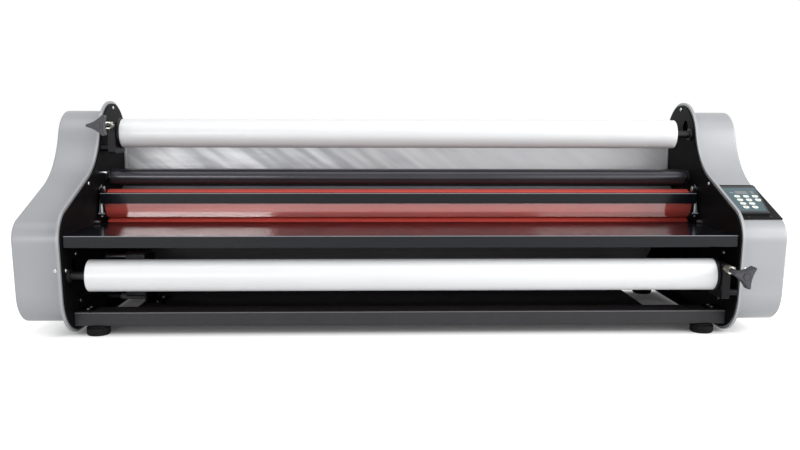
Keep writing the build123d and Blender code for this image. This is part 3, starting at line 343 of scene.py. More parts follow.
# %% [markdown]
# ## Plastics of the controls
# The knobs are glass-filled nylon, a dark grey with a dull, slightly mottled skin. The key panel is a
# black ABS housing on a textured base plate, with a printed teal membrane, milky silicone keys, and a
# smoked window, which alone is glossy. Behind the covers, the circuit board has its green lacquer and
# the gear motor a dark paint.

# %% Plastics
knob_nylon = surface("glass_filled_nylon", "#2B2B31", "#37373E", 12, 0.7, 0.06, 0.50, 0.07)
black_abs = surface("black_abs", "#0F0F11", "#18181B", 30, 0.5, 0.03, 0.40, 0.05)
plate_abs = surface(
    "textured_black_abs", "#0B0B0C", "#121214", 30, 0.9, 0.08, 0.60, 0.05, {"Specular IOR Level": 0.12})
membrane_print = surface(
    "printed_membrane", "#40545A", "#495F65", 20, 0.4, 0.01, 0.50, 0.04, {"Specular IOR Level": 0.35})
key_silicone = surface("milky_key_silicone", "#DDE2DA", "#E6EAE3", 10, 0.6, 0.02, 0.50, 0.04)
smoked_window = surface("smoked_window", "#55595C", "#63676A", 10, 1.0, 0.005, 0.14, 0.02,
                        {"Coat Weight": 0.6, "Coat Roughness": 0.05})
circuit_lacquer = surface("circuit_lacquer", "#0E3B22", "#155030", 6, 0.6, 0.03, 0.42, 0.05)
motor_paint = surface("motor_paint", "#1B1B1E", "#26262A", 20, 0.9, 0.04, 0.42, 0.05)
dress(knob_nylon, "upper_knob", "lower_knob")
dress(black_abs, "control_housing", "power_inlet", "power_switch")
dress(plate_abs, "control_base_plate")
dress(membrane_print, "control_membrane")
dress(key_silicone, *[name for name in nodes if name.startswith("key_")])
dress(smoked_window, "control_display")
dress(circuit_lacquer, "circuit_board")
dress(motor_paint, "gear_motor")

# %% [markdown]
# ## The shield's window
# The window of the heat shield is clear polycarbonate. Glass in Blender is a shader that lets light
# through and bends it by the index of refraction, 1.585 for this plastic. It would also throw a dark
# shadow, so rays on their way to a lamp pass straight through.

# %% Window
POLYCARBONATE_IOR = 1.585
window_plastic, window_tree, window_shader = start_material("clear_polycarbonate", {
    "Base Color": to_linear("#FBF7F7"), "Roughness": 0.03, "IOR": POLYCARBONATE_IOR,
    "Transmission Weight": 1.0})
window_rays = add_node(window_tree, "ShaderNodeLightPath")
window_clear = add_node(window_tree, "ShaderNodeBsdfTransparent")
window_both = add_node(window_tree, "ShaderNodeMixShader", {
    0: window_rays.outputs["Is Shadow Ray"], 1: window_shader.outputs[0], 2: window_clear.outputs[0]})
window_tree.links.new(window_both.outputs[0], find_node(window_tree, "OUTPUT_MATERIAL").inputs["Surface"])
dress(window_plastic, "shield_window")

# %% [markdown]
# ## Finishes of the small pieces
# A few more finishes belong to the small pieces alone: a smoother nylon for the knobs' caps, a frosted
# sawn edge, the bright folds of the rear panel, felt, the grey liner of the guide panel, the conduit,
# and the inks and unlit digits of the key panel.

# %% Small finishes
cap_nylon = surface("cap_nylon", "#2D2D34", "#393941", 8, 0.5, 0.03, 0.44, 0.05)
frosted_edge = surface("sawn_window_edge", "#C9CFCF", "#E2E6E6", 3, 0.3, 0.05, 0.55, 0.08)
fold_sheet = surface(
    "folded_silver_sheet", "#BFC1C5", "#D3D5D8", 60, 0.8, 0.01, 0.32, 0.05, {"Metallic": 0.3})
black_felt = surface("black_felt", "#09090A", "#121213", 8, 0.5, 0.25, 0.95, 0.04,
                     {"Specular IOR Level": 0.1, "Sheen Weight": 0.2})
liner_sheet = surface("satin_dark_sheet", "#77777A", "#98989C", 150, 40.0, 0.4, 0.40, 0.06)
grey_conduit = surface("grey_conduit", "#77797C", "#8A8C90", 15, 0.6, 0.02, 0.48, 0.05)
print_ink = surface("dark_print_ink", "#26302F", "#303A39", 5, 0.3, 0.005, 0.55, 0.05)
pale_ink = surface("pale_print_ink", "#C9D2D2", "#D8DFDF", 5, 0.3, 0.005, 0.55, 0.05)
unlit_segment = surface("unlit_segment", "#6E7377", "#777C80", 5, 0.3, 0.005, 0.30, 0.04)
print("materials, with the solid model's own", len(bpy.data.materials))

# %% [markdown]
# ## Turned forms
# Most of the small things are turned: a profile of radius and height goes round an axis, and a band of
# faces joins each ring of points to the next. The form becomes a mesh whose faces point outwards, smooth
# but for its hard edges. All sizes of the small pieces are in millimetres.

# %% From a profile to a mesh
SHARP = 35     # degrees between two faces, from which their edge stays hard


def join_rings(shape, low, high):
    """Adds the band of faces between two rings of points."""
    for index in range(len(low)):
        after = (index + 1) % len(low)
        shape.faces.new((low[index], low[after], high[after], high[index]))


def turn_profile(shape, profile, place, facing, steps, outline=None):
    """Adds a turned form from (radius, height) pairs. The outline may vary the radius by the angle."""
    spin = Vector(facing).to_track_quat("Z", "Y").to_matrix().to_4x4()
    at = Matrix.Translation(Vector(place) * MM) @ spin
    rings = []
    for radius, height in profile:
        ring = []
        for index in range(steps):
            angle = 2 * math.pi * index / steps
            reach = radius * (outline(angle) if outline else 1.0)
            ring.append(shape.verts.new(at @ (Vector((
                reach * math.cos(angle), reach * math.sin(angle), height)) * MM)))
        rings.append(ring)
    for low, high in zip(rings, rings[1:]):
        join_rings(shape, low, high)
    return rings


def to_mesh(name, shape, sharp=SHARP):
    """Turns a bmesh into a smooth mesh whose faces point outwards and whose hard edges are kept."""
    bmesh.ops.recalc_face_normals(shape, faces=shape.faces)
    mesh = bpy.data.meshes.new(name)
    shape.to_mesh(mesh)
    shape.free()
    mesh.shade_smooth()
    mesh.set_sharp_from_angle(angle=math.radians(sharp))
    return mesh

# %% [markdown]
# ## Screw heads
# The solid model's screws are plain discs. Here each one becomes a pan head with a domed rim and a
# hexagon socket. Every head is the same, so one is modelled. Its socket is a turned form too, with a
# radius that follows a hexagon.

# %% One head
HEAD_STEPS, HEAD_SHARP = 24, 40
HEAD_PROFILE = ((3.8, 0.0), (3.8, 0.7), (3.6, 1.35), (3.1, 1.85), (2.4, 2.15), (1.9, 2.2))
SOCKET_PROFILE = ((1.55, 2.2), (1.5, 0.9))
UPRIGHT = ((0, 0, 0), (0, 0, 1))     # place and facing


def hexagon(angle):
    """How far a hexagon reaches at an angle, where its corners reach 1."""
    return math.cos(math.pi / 6) / math.cos(angle % (math.pi / 3) - math.pi / 6)


head_shape = bmesh.new()
dome = turn_profile(head_shape, HEAD_PROFILE, *UPRIGHT, HEAD_STEPS)
socket = turn_profile(head_shape, SOCKET_PROFILE, *UPRIGHT, HEAD_STEPS, hexagon)
join_rings(head_shape, dome[-1], socket[0])
head_shape.faces.new(socket[-1])
head_shape.faces.new(dome[0])
head_mesh = to_mesh("screw_head", head_shape, HEAD_SHARP)
screw_head = bpy.data.objects.new("screw_head", head_mesh)
print("one head has", len(head_mesh.polygons), "faces")

# %% [markdown]
# ## Seats
# The heads sit where the solid model has its screws: on the inner faces of the side plates, on both legs
# of the angle brackets, and on the foot of the motor's bracket. One more is low on the front of each
# cover, whose skin is curved, so the mesh itself says where its surface is and which way it looks.

# %% Where the screws sit
CHEEK_FACE = 595.0     # x
CHEEK_SCREWS = ((139.5, 413.0), (-26.5, 268.5), (-162.5, 126.0), (-110.5, 148.0))     # y and z
BRACKETS = (-103.4, 237.5)     # y of the front and the rear angle brackets' middles
LEG_FACE, LEG_SCREW = 592.5, 60.3     # x and z on the upright leg
FOOT_X, FOOT_FACE, FOOT_SCREW = 577.0, 44.8, 8.0     # x and z on the flat leg, y from its middle
MOTOR_FOOT = [(-489.6, y, 25.2) for y in (38.3, 82.7)]
COVER_SCREW = (0.6135, -0.1605, 0.125)     # near the skin, in metres
UP = (0, 0, 1)
seats, base_seats = [], []
for side in SIDES:
    inwards = (-side, 0, 0)
    seats += [((side * CHEEK_FACE, y, z), inwards) for y, z in CHEEK_SCREWS]
    for y in BRACKETS:
        base_seats.append(((side * LEG_FACE, y, LEG_SCREW), inwards))
        base_seats += [((side * FOOT_X, y + shift, FOOT_FACE), UP) for shift in (-FOOT_SCREW, FOOT_SCREW)]
base_seats += [(place, UP) for place in MOTOR_FOOT]
for name, side in zip(("left_cover", "right_cover"), SIDES):
    near_by = (side * COVER_SCREW[0], *COVER_SCREW[1:])
    _, place, facing, _ = nodes[name].closest_point_on_mesh(near_by)
    seats.append((tuple(place / MM), tuple(facing)))
    print(name, "carries its screw at", [round(value / MM, 1) for value in place])

# %% [markdown]
# ## Where the key panel lies
# The key panel slopes, and two screws and all its marks lie in its plane. Its largest upward face gives
# the way out of it, and a turn made of three axes carries flat things onto it. A place is then only slid
# along the way out until it stands at the level of what carries it, which the node's own points give.

# %% The panel's plane and its screws
PANEL_SCREWS = [Vector((x, -136.6, 214.8)) for x in (625.5, 666.0)]
ALONG = Vector((1, 0, 0))     # the machine's long way


def turn_to(up, out):
    """A turn that lays x along the machine, y along up and z along out."""
    return Matrix((ALONG, up, out)).transposed().to_4x4()


def highest(name, out, between=None):
    """How far a node reaches along a direction, in metres, of the points that a test lets through."""
    return max(v.co.dot(out) for v in nodes[name].data.vertices if not between or between(v.co))


def slide_to(place, out, level):
    """Slides a place along a direction until it stands at a level."""
    return place + out * (level - place.dot(out))


panel_mesh = nodes["control_membrane"].data
panel_face = max((face for face in panel_mesh.polygons if face.normal.z > 0.3),
                 key=lambda face: face.area)
panel_out = panel_face.normal.copy()
panel_out.x = 0.0
panel_out.normalize()
panel_up = panel_out.cross(ALONG)
panel_turn = turn_to(panel_up, panel_out)
plate_top = highest("control_base_plate", panel_out) / MM
panel_seats = [(tuple(slide_to(place, panel_out, plate_top)), tuple(panel_out)) for place in PANEL_SCREWS]
print("screws", len(seats), len(base_seats), len(panel_seats))

# %% [markdown]
# ## Heads on their seats
# Geometry Nodes sets the one head on a list of places. Each place keeps the way its head looks as an
# attribute, and a seeded turn stops the sockets from lining up. Copies that are still instances would be
# lost on export, so the tree ends by making them real and giving them their finish.

# %% A tree that sets heads
head_tree = bpy.data.node_groups.new("set_on_seats", "GeometryNodeTree")
head_tree.interface.new_socket("Seats", in_out="INPUT", socket_type="NodeSocketGeometry")
head_sockets = {
    name: head_tree.interface.new_socket(name, in_out="INPUT", socket_type="NodeSocket" + kind).identifier
    for name, kind in (("Head", "Object"), ("Finish", "Material"), ("Seed", "Int"), ("Size", "Float"))}
head_tree.interface.new_socket("Heads", in_out="OUTPUT", socket_type="NodeSocketGeometry")
given = add_node(head_tree, "NodeGroupInput")
one_head = add_node(head_tree, "GeometryNodeObjectInfo", {"Object": given.outputs["Head"]})
look = add_node(head_tree, "GeometryNodeInputNamedAttribute", {"Name": "facing"},
                data_type="FLOAT_VECTOR")
aimed = add_node(head_tree, "FunctionNodeAlignRotationToVector", {"Vector": look.outputs[0]}, axis="Z")
spin_by = add_node(head_tree, "FunctionNodeRandomValue", {
    "Seed": given.outputs["Seed"], 2: 0.0, 3: math.pi / 3}, data_type="FLOAT")
spin_axes = add_node(head_tree, "ShaderNodeCombineXYZ", {"Z": spin_by.outputs[1]})
spin = add_node(head_tree, "FunctionNodeEulerToRotation", {0: spin_axes.outputs[0]})
aimed_and_spun = add_node(head_tree, "FunctionNodeRotateRotation", {
    0: aimed.outputs[0], 1: spin.outputs[0]}, rotation_space="LOCAL")
placed = add_node(head_tree, "GeometryNodeInstanceOnPoints", {
    "Points": given.outputs["Seats"], "Instance": one_head.outputs["Geometry"],
    "Rotation": aimed_and_spun.outputs[0], "Scale": given.outputs["Size"]})
real = add_node(head_tree, "GeometryNodeRealizeInstances", {0: placed.outputs[0]})
finished = add_node(head_tree, "GeometryNodeSetMaterial", {
    "Geometry": real.outputs[0], "Material": given.outputs["Finish"]})
add_node(head_tree, "NodeGroupOutput", {"Heads": finished.outputs[0]})
print("tree of", len(head_tree.nodes), "nodes")

# %% [markdown]
# The places go into a mesh of loose points, which carries the tree as a modifier. Its result becomes a
# plain mesh, one for each finish, and the points are thrown away. Each mesh becomes a piece, which rides
# with the body that carries it. The three together stand for the solid model's plain screws. The key
# panel's screws are a smaller size.

# %% The heads
def add_object(name, data):
    """Puts a mesh, a curve, a lamp or a camera into the scene."""
    added = bpy.data.objects.new(name, data)
    bpy.context.collection.objects.link(added)
    return added


def add_piece(name, mesh, body):
    """Makes a mesh a piece that rides with a body."""
    piece = add_object(name, mesh)
    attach(piece, body)
    return piece


def set_on_seats(name, places, **inputs):
    """Sets copies of a head on places with facings, and gives back a plain mesh."""
    points = bpy.data.meshes.new(name + "_places")
    points.from_pydata([Vector(place) * MM for place, _ in places], [], [])
    attribute = points.attributes.new("facing", "FLOAT_VECTOR", "POINT")
    for item, (_, facing) in zip(attribute.data, places):
        item.vector = facing
    carrier = add_object(name + "_carrier", points)
    modifier = carrier.modifiers.new("set_on_seats", "NODES")
    modifier.node_group = head_tree
    for key, value in inputs.items():
        modifier[head_sockets[key]] = value
    graph = bpy.context.evaluated_depsgraph_get()
    mesh = bpy.data.meshes.new_from_object(carrier.evaluated_get(graph))
    carrier.modifiers.remove(modifier)
    bpy.data.objects.remove(carrier)
    return mesh


for name, places, finish, seed, size in (("screw_heads", seats, bright_steel, 4, 1.0),
                                         ("base_screw_heads", base_seats, dull_zinc, 9, 1.0),
                                         ("panel_screw_heads", panel_seats, black_screw, 2, 0.68)):
    heads = set_on_seats(name, places, Head=screw_head, Finish=finish, Seed=seed, Size=size)
    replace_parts(add_piece(name, heads, "frame"), "screws")
    print(name, len(heads.polygons), "faces")

# %% [markdown]
# ## Rings and plain pieces
# Some turned forms have a hole in the middle, where the profile closes on itself. Most pieces have one
# finish, so one function takes them from their form to their ride.

# %% Helpers for rings and plain pieces
def turn_ring(shape, profile, place, facing, steps):
    """Adds a turned form with a hole in the middle, where the profile closes on itself."""
    rings = turn_profile(shape, profile, place, facing, steps)
    join_rings(shape, rings[-1], rings[0])


def finish_piece(name, shape, material, body):
    """Turns a bmesh into a piece with one finish."""
    mesh = to_mesh(name, shape)
    mesh.materials.append(material)
    add_piece(name, mesh, body)
    print(name, len(mesh.polygons), "faces, on", body)

# %% [markdown]
# ## The brakes' stud threads
# Each tension knob turns a threaded stud. The thread is one helix, a triangle in section, wound from the
# knob's back to the nut. It could be a bump in the finish, but seen from the side a real thread shows.

# %% Winding a thread
STUD_RADIUS, THREAD_PITCH, THREAD_STEPS = 4.0, 1.25, 20
THREAD_SECTION = ((-0.45, -0.1), (0.0, 0.45), (0.45, -0.1))     # share of the pitch, mm over the radius
STUDS = (("upper", -571.0, 377.9, -18.0, 27.0),     # x, z, and y from end to end
         ("lower", 571.0, 130.4, -248.0, -203.0))


def wind_thread(shape, x, z, y_start, y_end):
    """Adds a helix round a stud, a strip of two faces for each step."""
    last = None
    for index in range(int((y_end - y_start) / THREAD_PITCH * THREAD_STEPS) + 1):
        angle = 2 * math.pi * index / THREAD_STEPS
        y = y_start + THREAD_PITCH * index / THREAD_STEPS
        out = Vector((math.cos(angle), 0.0, math.sin(angle)))
        section = []
        for shift, reach in THREAD_SECTION:
            place = Vector((x, y + shift * THREAD_PITCH, z)) + out * (STUD_RADIUS + reach)
            section.append(shape.verts.new(place * MM))
        if last:
            for a, b in ((0, 1), (1, 2)):
                shape.faces.new((last[a], last[b], section[b], section[a]))
        last = section


print("turns", [(y_end - y_start) / THREAD_PITCH for *_, y_start, y_end in STUDS])

# %% [markdown]
# ## The knobs' caps
# A cap closes the hole in the front of a knob: a shallow dome of a smoother nylon, in a dark groove. Both
# are turned forms. The thread, the cap and the groove all ride with their knob, so they turn with it.

# %% Threads, caps and grooves
CAP_PROFILE = ((5.3, -0.6), (5.3, 0.1), (5.0, 0.45), (3.6, 0.75), (1.6, 0.9), (0.2, 0.95))
GROOVE_PROFILE = ((5.9, 0.0), (6.9, 0.0), (6.9, 0.12), (5.9, 0.12))
CAP_INSET = 1.0     # behind the lobes' foremost point
FORWARDS, FINE_STEPS = (0, -1, 0), 36
for level, x, z, y_start, y_end in STUDS:
    knob = level + "_knob"
    thread = bmesh.new()
    wind_thread(thread, x, z, y_start, y_end)
    finish_piece(level + "_stud_thread", thread, black_screw, knob)
    seat = (x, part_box(knob)[0].y / MM + CAP_INSET, z)
    cap = bmesh.new()
    rings = turn_profile(cap, CAP_PROFILE, seat, FORWARDS, FINE_STEPS)
    cap.faces.new(rings[0])
    cap.faces.new(rings[-1])
    finish_piece(knob + "_cap", cap, cap_nylon, knob)
    groove = bmesh.new()
    turn_ring(groove, GROOVE_PROFILE, seat, FORWARDS, FINE_STEPS)
    finish_piece(knob + "_groove", groove, black_abs, knob)

# %% [markdown]
# ## Washers on the idlers
# Bright washers sit between the idlers and their bearings, where a narrow ring of them shows.

# %% Washers
WASHER_PROFILE = ((6.2, 0.0), (7.9, 0.0), (8.3, 0.4), (8.3, 2.2), (7.9, 2.6), (6.2, 2.6))
WASHER_X = 587.0
for level, y, z in (("upper", 86.5, 274.0), ("lower", 1.5, 92.0)):
    washers = bmesh.new()
    for side in SIDES:
        turn_ring(washers, WASHER_PROFILE, (side * WASHER_X, y, z), (side, 0, 0), FINE_STEPS)
    finish_piece(level + "_idler_washers", washers, turned_aluminium, level + "_idler")

# %% [markdown]
# ## Plates with softened edges
# A real edge is never quite sharp, and it catches the light, so even a thin plate gets a small bevel.
# Many plates come in pairs, one at each end of the machine.

# %% Helpers for plates
def soft_box(shape, low, high, edge, at=None):
    """Adds a box with rounded edges between two corners."""
    low, high = Vector(low) * MM, Vector(high) * MM
    spread = Matrix.Translation((low + high) / 2) @ Matrix.Diagonal((*(high - low), 1.0))
    made = bmesh.ops.create_cube(shape, size=1.0, matrix=(at or Matrix()) @ spread)["verts"]
    edges = list({e for v in made for e in v.link_edges})
    bmesh.ops.bevel(shape, geom=edges, offset=edge * MM, segments=2, affect="EDGES", profile=0.5)


def end_boxes(shape, near, far, low, high, edge):
    """Adds a soft box at each end of the machine, near to far from its middle, between (y, z) corners."""
    for side in SIDES:
        first, last = sorted((side * near, side * far))
        soft_box(shape, (first, *low), (last, *high), edge)

# %% [markdown]
# ## The heat shield's tabs and the window's ends
# The shield's bar is held by small tabs above it. The clear window shows its sawn ends as pale lines,
# because a saw leaves the plastic frosted. They are thin strips that stand a hair proud of the window.

# %% Tabs and sawn ends
tabs = bmesh.new()
end_boxes(tabs, 580.5, 588.5, (17.0, 246.8), (19.0, 257.0), 0.6)
finish_piece("shield_tabs", tabs, bracket_enamel, "heat_shield")
END_WIDTH, PROUD = 2.6, 0.1
ABOVE_FOOT, BELOW_TOP = 0.4, 16.0     # the shield's bar hides the window's top
window_low, window_high = (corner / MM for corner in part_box("shield_window"))
ends = bmesh.new()
end_boxes(ends, window_high.x - END_WIDTH, window_high.x + PROUD,
          (window_low.y - 0.25, window_low.z + ABOVE_FOOT),
          (window_high.y + 0.2, window_high.z - BELOW_TOP), 0.15)
finish_piece("window_sawn_ends", ends, frosted_edge, "heat_shield")

# %% [markdown]
# ## Round the rear panel
# The rear panel is framed by its own folds, which catch the light as thin lines. A strip of black felt
# lies along its foot.

# %% Folds and felt
FOLD_DEPTH, FELT_DEPTH, OVERLAP = 1.6, 1.2, 0.1     # in front of the panel, and into it
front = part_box("rear_upper_panel")[0].y / MM
folds = bmesh.new()
end_boxes(folds, 588.6, 594.2, (front - FOLD_DEPTH, 276.6), (front + OVERLAP, 369.0), 0.7)
soft_box(folds, (-588.4, front - FOLD_DEPTH, 274.0), (588.4, front + OVERLAP, 276.8), 0.7)
finish_piece("rear_panel_folds", folds, fold_sheet, "frame")
felt = bmesh.new()
soft_box(felt, (-594.0, front - FELT_DEPTH, 233.0), (594.0, front + OVERLAP, 273.8), 0.4)
finish_piece("rear_panel_felt", felt, black_felt, "frame")

# %% [markdown]
# ## The guide panel's liner
# The sloped guide panel under the tray carries a liner of satin dark sheet, which shows as a grey band
# between the rolls. Its place is slid out to the level of the slope itself, without the panel's folds.

# %% Liner
LINER_HALF = Vector((545.0, 40.0))
LINER_LOW, LINER_HIGH = 0.05, 0.9     # over the panel
SLOPE_FROM, SLOPE_TO = -2.0, 90.0     # along the slope, from its top
guide_top, guide_foot = Vector((0.0, 136.5, 129.0)), Vector((0.0, 201.5, 70.0))
guide_along = (guide_foot - guide_top).normalized()
guide_out = guide_along.cross(ALONG)


def on_slope(place):
    """Whether a point of the panel lies on its slope."""
    return SLOPE_FROM < (place / MM - guide_top).dot(guide_along) < SLOPE_TO


guide_level = highest("lower_guide_panel", guide_out, on_slope) / MM
middle = slide_to((guide_top + guide_foot) / 2, guide_out, guide_level)
liner = bmesh.new()
soft_box(liner, (*-LINER_HALF, LINER_LOW), (*LINER_HALF, LINER_HIGH), 0.3,
         Matrix.Translation(middle * MM) @ turn_to(guide_along, guide_out))
finish_piece("guide_panel_liner", liner, liner_sheet, "frame")

# %% [markdown]
# ## The motor's lead
# The motor's lead runs in a corrugated grey conduit along the floor of the machine. Its ribs are one
# turned profile: a rib and a valley, over and over.

# %% Conduit
RIBS, RIB_PITCH = 18, 3.0
VALLEY, CREST = 5.5, 6.3
CONDUIT_START = (-569.0, 63.5, 32.0)
profile = []
for rib in range(RIBS):
    start = RIB_PITCH * rib
    profile += [(VALLEY, start), (CREST, start + 0.6), (CREST, start + 1.8), (VALLEY, start + 2.4)]
conduit = bmesh.new()
turn_ring(conduit, profile, CONDUIT_START, ALONG, 24)
finish_piece("lead_conduit", conduit, grey_conduit, "frame")

# %% [markdown]
# ## Numbers on the keys
# The keys carry plain numbers. Blender's text is a curve: it is given a hair's thickness, made a mesh
# while it still lies at the origin, and then turned into the panel's plane and put on its key. Each
# number rides with its key, so it goes down when the key is pressed.

# %% Key numbers
TEXT_THICKNESS, TEXT_LIFT = 0.05, 0.03
KEY_NUMBER_SIZE = 5.0


def print_text(name, words, size, place, material, body):
    """Adds flat lettering in the plane of the key panel."""
    letters = bpy.data.curves.new(name, "FONT")
    letters.body = words
    letters.size = size * MM
    letters.extrude = TEXT_THICKNESS / 2 * MM
    letters.align_x = "CENTER"
    letters.align_y = "CENTER"
    carrier = add_object(name + "_text", letters)
    graph = bpy.context.evaluated_depsgraph_get()
    mesh = bpy.data.meshes.new_from_object(carrier.evaluated_get(graph))
    bpy.data.objects.remove(carrier)
    mesh.transform(Matrix.Translation(place) @ panel_turn)
    mesh.materials.clear()
    mesh.materials.append(material)
    add_piece(name, mesh, body)


key_places = {}
for index in range(10):
    name = "key_%d" % (index + 1)
    low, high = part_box(name)
    key_places[name] = slide_to((low + high) / 2, panel_out, highest(name, panel_out) + TEXT_LIFT * MM)
    print_text(name + "_number", str(index), KEY_NUMBER_SIZE, key_places[name], print_ink, name)
print("key numbers", len(key_places))

# %% [markdown]
# ## The panel's border
# A black border is printed round the teal at the left, the foot and the top. The panel narrows towards
# its foot at the right, so the border's corners come from the membrane's own points.

# %% Border
BORDER_SIDE, BORDER_TOP, BORDER_FOOT, BORDER_THICKNESS = 1.8 * MM, 5.6 * MM, 4.4 * MM, 0.12 * MM
TOP_SLANT = 0.7 * MM     # how much the right side draws in over the top strip
SAME_EDGE = 1.0 * MM     # points this near to the lowest or highest one lie on that edge
membrane_top = highest("control_membrane", panel_out)
corners = [vertex.co for vertex in panel_mesh.vertices]
foot = min(corner.dot(panel_up) for corner in corners)
crown = max(corner.dot(panel_up) for corner in corners)
left = min(corner.x for corner in corners)
foot_right = max(corner.x for corner in corners if corner.dot(panel_up) < foot + SAME_EDGE)
crown_right = max(corner.x for corner in corners if corner.dot(panel_up) > crown - SAME_EDGE)
inner = left + BORDER_SIDE
foot_inner, crown_inner = foot + BORDER_FOOT, crown - BORDER_TOP
border = bmesh.new()
for outline in (((left, foot), (inner, foot), (inner, crown), (left, crown)),
                ((inner, foot), (foot_right, foot), (foot_right, foot_inner), (inner, foot_inner)),
                ((inner, crown_inner), (crown_right - TOP_SLANT, crown_inner), (crown_right, crown),
                 (inner, crown))):
    low_ring, high_ring = [], []
    for x, up in outline:
        place = Vector((x, 0, 0)) + panel_up * up + panel_out * membrane_top
        low_ring.append(border.verts.new(place))
        high_ring.append(border.verts.new(place + panel_out * BORDER_THICKNESS))
    border.faces.new(low_ring)
    border.faces.new(high_ring)
    join_rings(border, low_ring, high_ring)
finish_piece("panel_border", border, black_abs, "frame")

# %% [markdown]
# ## Bars and digits
# Short pale bars are printed under the keys and beside the display. The display has three digits. They
# are unlit, so they are only a little lighter than its window.

# %% Bars and unlit digits
KEY_BAR = ((-2.4, -6.1), (2.4, -5.5))     # corners from the key's middle
DISPLAY_BARS = ((-8.9, 2.2), (-6.2, 1.4), (-4.2, 1.8))     # place from the window's left, and width
BAR_THICKNESS, BAR_EDGE, BAR_HALF_HEIGHT = 0.06, 0.02, 0.6
DIGITS, DIGIT_SIZE = (5.0, 11.5, 18.0), 9.0     # places from the window's left
display_low, display_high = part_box("control_display")
display_top = highest("control_display", panel_out)


def along_display(along, level):
    """A place on the display's middle line, so far from the window's left edge, at a level."""
    place = (display_low + display_high) / 2
    place.x = display_low.x + along * MM
    return slide_to(place, panel_out, level)


marks = bmesh.new()
for place in key_places.values():
    spot = Matrix.Translation(slide_to(place, panel_out, membrane_top)) @ panel_turn
    soft_box(marks, (*KEY_BAR[0], 0.0), (*KEY_BAR[1], BAR_THICKNESS), BAR_EDGE, spot)
for along, width in DISPLAY_BARS:
    spot = Matrix.Translation(along_display(along, membrane_top)) @ panel_turn
    soft_box(marks, (-width / 2, -BAR_HALF_HEIGHT, 0.0), (width / 2, BAR_HALF_HEIGHT, BAR_THICKNESS),
             BAR_EDGE, spot)
finish_piece("panel_marks", marks, pale_ink, "frame")
for index, along in enumerate(DIGITS):
    print_text("display_digit_%d" % (index + 1), "8", DIGIT_SIZE,
               along_display(along, display_top + TEXT_LIFT * MM), unlit_segment, "frame")
print("digits", len(DIGITS))

# %% [markdown]
# ## Camera
# The photograph looks slightly down on the machine from a little left of its middle. Position, tilt and
# lens come from solving the picture with the machine's own sizes. The focal length in pixels becomes
# millimetres by the ratio of sensor to picture width.

# %% The camera
SENSOR_WIDTH, PICTURE_WIDTH, FOCAL_PIXELS = 36.0, 800, 835.17
CAMERA_PLACE = Vector((-0.0501, -1.6242, 0.3911))
PITCH, YAW, ROLL = 0.12592, 0.0290, -0.00273     # radians
camera_data = bpy.data.cameras.new("photo_camera")
camera_data.sensor_width = SENSOR_WIDTH
camera_data.lens = SENSOR_WIDTH * FOCAL_PIXELS / PICTURE_WIDTH
camera = add_object("photo_camera", camera_data)
turn = (Matrix.Rotation(-YAW, 4, "Z") @ Matrix.Rotation(math.pi / 2 - PITCH, 4, "X")
        @ Matrix.Rotation(-ROLL, 4, "Z"))
camera.matrix_world = Matrix.Translation(CAMERA_PLACE) @ turn
bpy.context.scene.camera = camera
print("lens", round(camera_data.lens, 2), "mm")

# %% [markdown]
# ## Lamps
# Five soft lamps stand round the machine: a broad one above, one in front and to the right, a strong one
# at the right and a weak one at the left, so the forms have a light and a shaded side. A small panel low
# in front at the left is there for what mirrors it: the tray, the window and the black bars.

# %% Softboxes
LAMPS = {     # place, what it is aimed at, width and height, all in metres, and power in watts
    "top_softbox": ((0, -0.5, 1.9), (0, 0, 0.2), (2.6, 1.2), 14),
    "front_softbox": ((1.8, -2.6, 0.9), (0.1, 0, 0.2), (2.2, 1.2), 17),
    "left_softbox": ((-2.4, -1.4, 1.0), (0, 0, 0.2), (1.2, 1.6), 3),
    "right_softbox": ((2.2, -1.2, 1.2), (0.3, 0, 0.25), (1.2, 1.6), 39),
    "low_left_panel": ((-0.93, -2.05, 0.45), (-0.2, 0, 0.25), (0.84, 0.34), 8)}
for name, (place, target, size, power) in LAMPS.items():
    data = bpy.data.lights.new(name, "AREA")
    data.shape = "RECTANGLE"
    data.size, data.size_y = size
    data.energy = power
    light = add_object(name, data)
    light.location = place
    light.rotation_euler = (Vector(target) - Vector(place)).to_track_quat("-Z", "Y").to_euler()
print("lamps", len(LAMPS))

# %% [markdown]
# ## Surround
# The world is one even white. It lights the machine at about half strength, which fills the shadows.
# Rays that come straight from the camera, off something glossy or through the window see it at full
# strength, so it is also the white background.

# %% World
FILL, WHITE = 0.54, 1.0


def seen_directly(tree):
    """A socket that is 1 for rays from the camera, off a gloss or through glass, and 0 for the rest."""
    rays = add_node(tree, "ShaderNodeLightPath")
    seen = rays.outputs["Is Camera Ray"]
    for kind in ("Is Transmission Ray", "Is Glossy Ray"):
        seen = add_node(tree, "ShaderNodeMath", {0: seen, 1: rays.outputs[kind]},
                        operation="MAXIMUM").outputs[0]
    return seen


world = bpy.data.worlds.new("studio")
bpy.context.scene.world = world
world.use_nodes = True
world.node_tree.nodes.clear()
strength = add_node(world.node_tree, "ShaderNodeMapRange", {
    "Value": seen_directly(world.node_tree), "To Min": FILL, "To Max": WHITE})
backdrop = add_node(world.node_tree, "ShaderNodeBackground", {
    "Color": (1.0, 1.0, 1.0, 1.0), "Strength": strength.outputs[0]})
add_node(world.node_tree, "ShaderNodeOutputWorld", {"Surface": backdrop.outputs[0]})
print("world", FILL, WHITE)
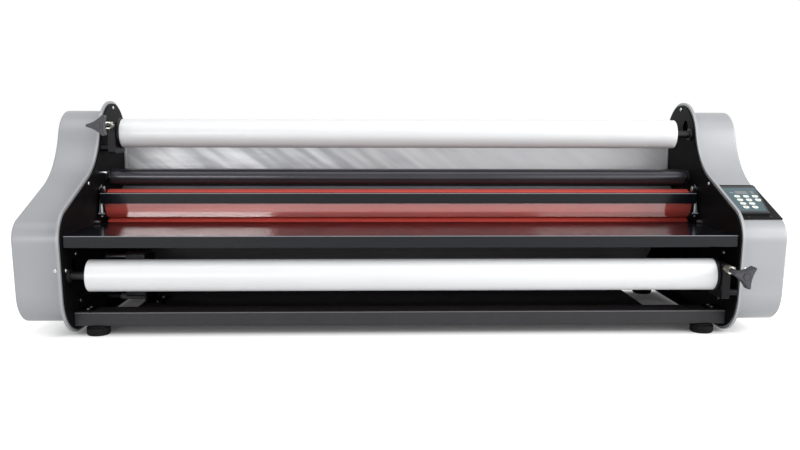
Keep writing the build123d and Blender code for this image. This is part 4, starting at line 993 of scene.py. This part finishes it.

# %% [markdown]
# ## Floor
# The floor is pale paper, which takes the machine's soft shadow. A glow that only direct rays see makes
# the paper as white as the surround, so the horizon doesn't show. Under the machine the glow fades almost
# to nothing, a painted shade in a box round its footprint on top of the real shadow, and the ground
# between the feet stays grey.

# %% Paper floor
FLOOR_REACH = 6.0
GLOW, GLOW_UNDER = 0.66, 0.05     # out in the open, and the share of it under the machine
SHADE_MIDDLE = 0.06     # y, in metres
SHADE_EDGES = ((0, 0.57, 0.67), (1, 0.16, 0.22))     # axis, and where the glow begins and is full
paper, paper_tree, paper_shader = start_material("studio_floor", {
    "Base Color": to_linear("#DCDCDC"), "Roughness": 0.8, "Specular IOR Level": 0.1})
paper_place = add_node(paper_tree, "ShaderNodeTexCoord").outputs["Object"]
from_middle = add_node(paper_tree, "ShaderNodeMapping", {
    "Vector": paper_place, "Location": (0.0, -SHADE_MIDDLE, 0.0)})
paper_axes = add_node(paper_tree, "ShaderNodeSeparateXYZ", {0: from_middle.outputs[0]})
# the glow fades in a box round the machine's footprint: a painted shade
open_by_axis = []
for axis, near_edge, far_edge in SHADE_EDGES:
    reach = add_node(paper_tree, "ShaderNodeMath", {0: paper_axes.outputs[axis]}, operation="ABSOLUTE")
    open_by_axis.append(add_node(paper_tree, "ShaderNodeMapRange", {
        "Value": reach.outputs[0], "From Min": near_edge, "From Max": far_edge,
        "To Min": GLOW_UNDER}, interpolation_type="SMOOTHSTEP").outputs[0])
in_the_open = add_node(paper_tree, "ShaderNodeMath", dict(enumerate(open_by_axis)), operation="MAXIMUM")
glow_level = add_node(paper_tree, "ShaderNodeMath", {
    0: seen_directly(paper_tree), 1: in_the_open.outputs[0]}, operation="MULTIPLY")
glow = add_node(paper_tree, "ShaderNodeEmission", {
    "Color": (GLOW, GLOW, GLOW, 1.0), "Strength": glow_level.outputs[0]})
lit = add_node(paper_tree, "ShaderNodeAddShader", {0: paper_shader.outputs[0], 1: glow.outputs[0]})
paper_tree.links.new(lit.outputs[0], find_node(paper_tree, "OUTPUT_MATERIAL").inputs["Surface"])
quarters = ((-1, -1), (1, -1), (1, 1), (-1, 1))
floor_mesh = bpy.data.meshes.new("floor")
floor_mesh.from_pydata([(x * FLOOR_REACH, y * FLOOR_REACH, 0) for x, y in quarters], [], [(0, 1, 2, 3)])
floor_mesh.materials.append(paper)
add_object("floor", floor_mesh)
print("floor", 2 * FLOOR_REACH, "metres square")

# %% [markdown]
# ## Finish
# The Standard view shows a colour as it is written.

# %% View transform
bpy.context.scene.view_settings.view_transform = "Standard"
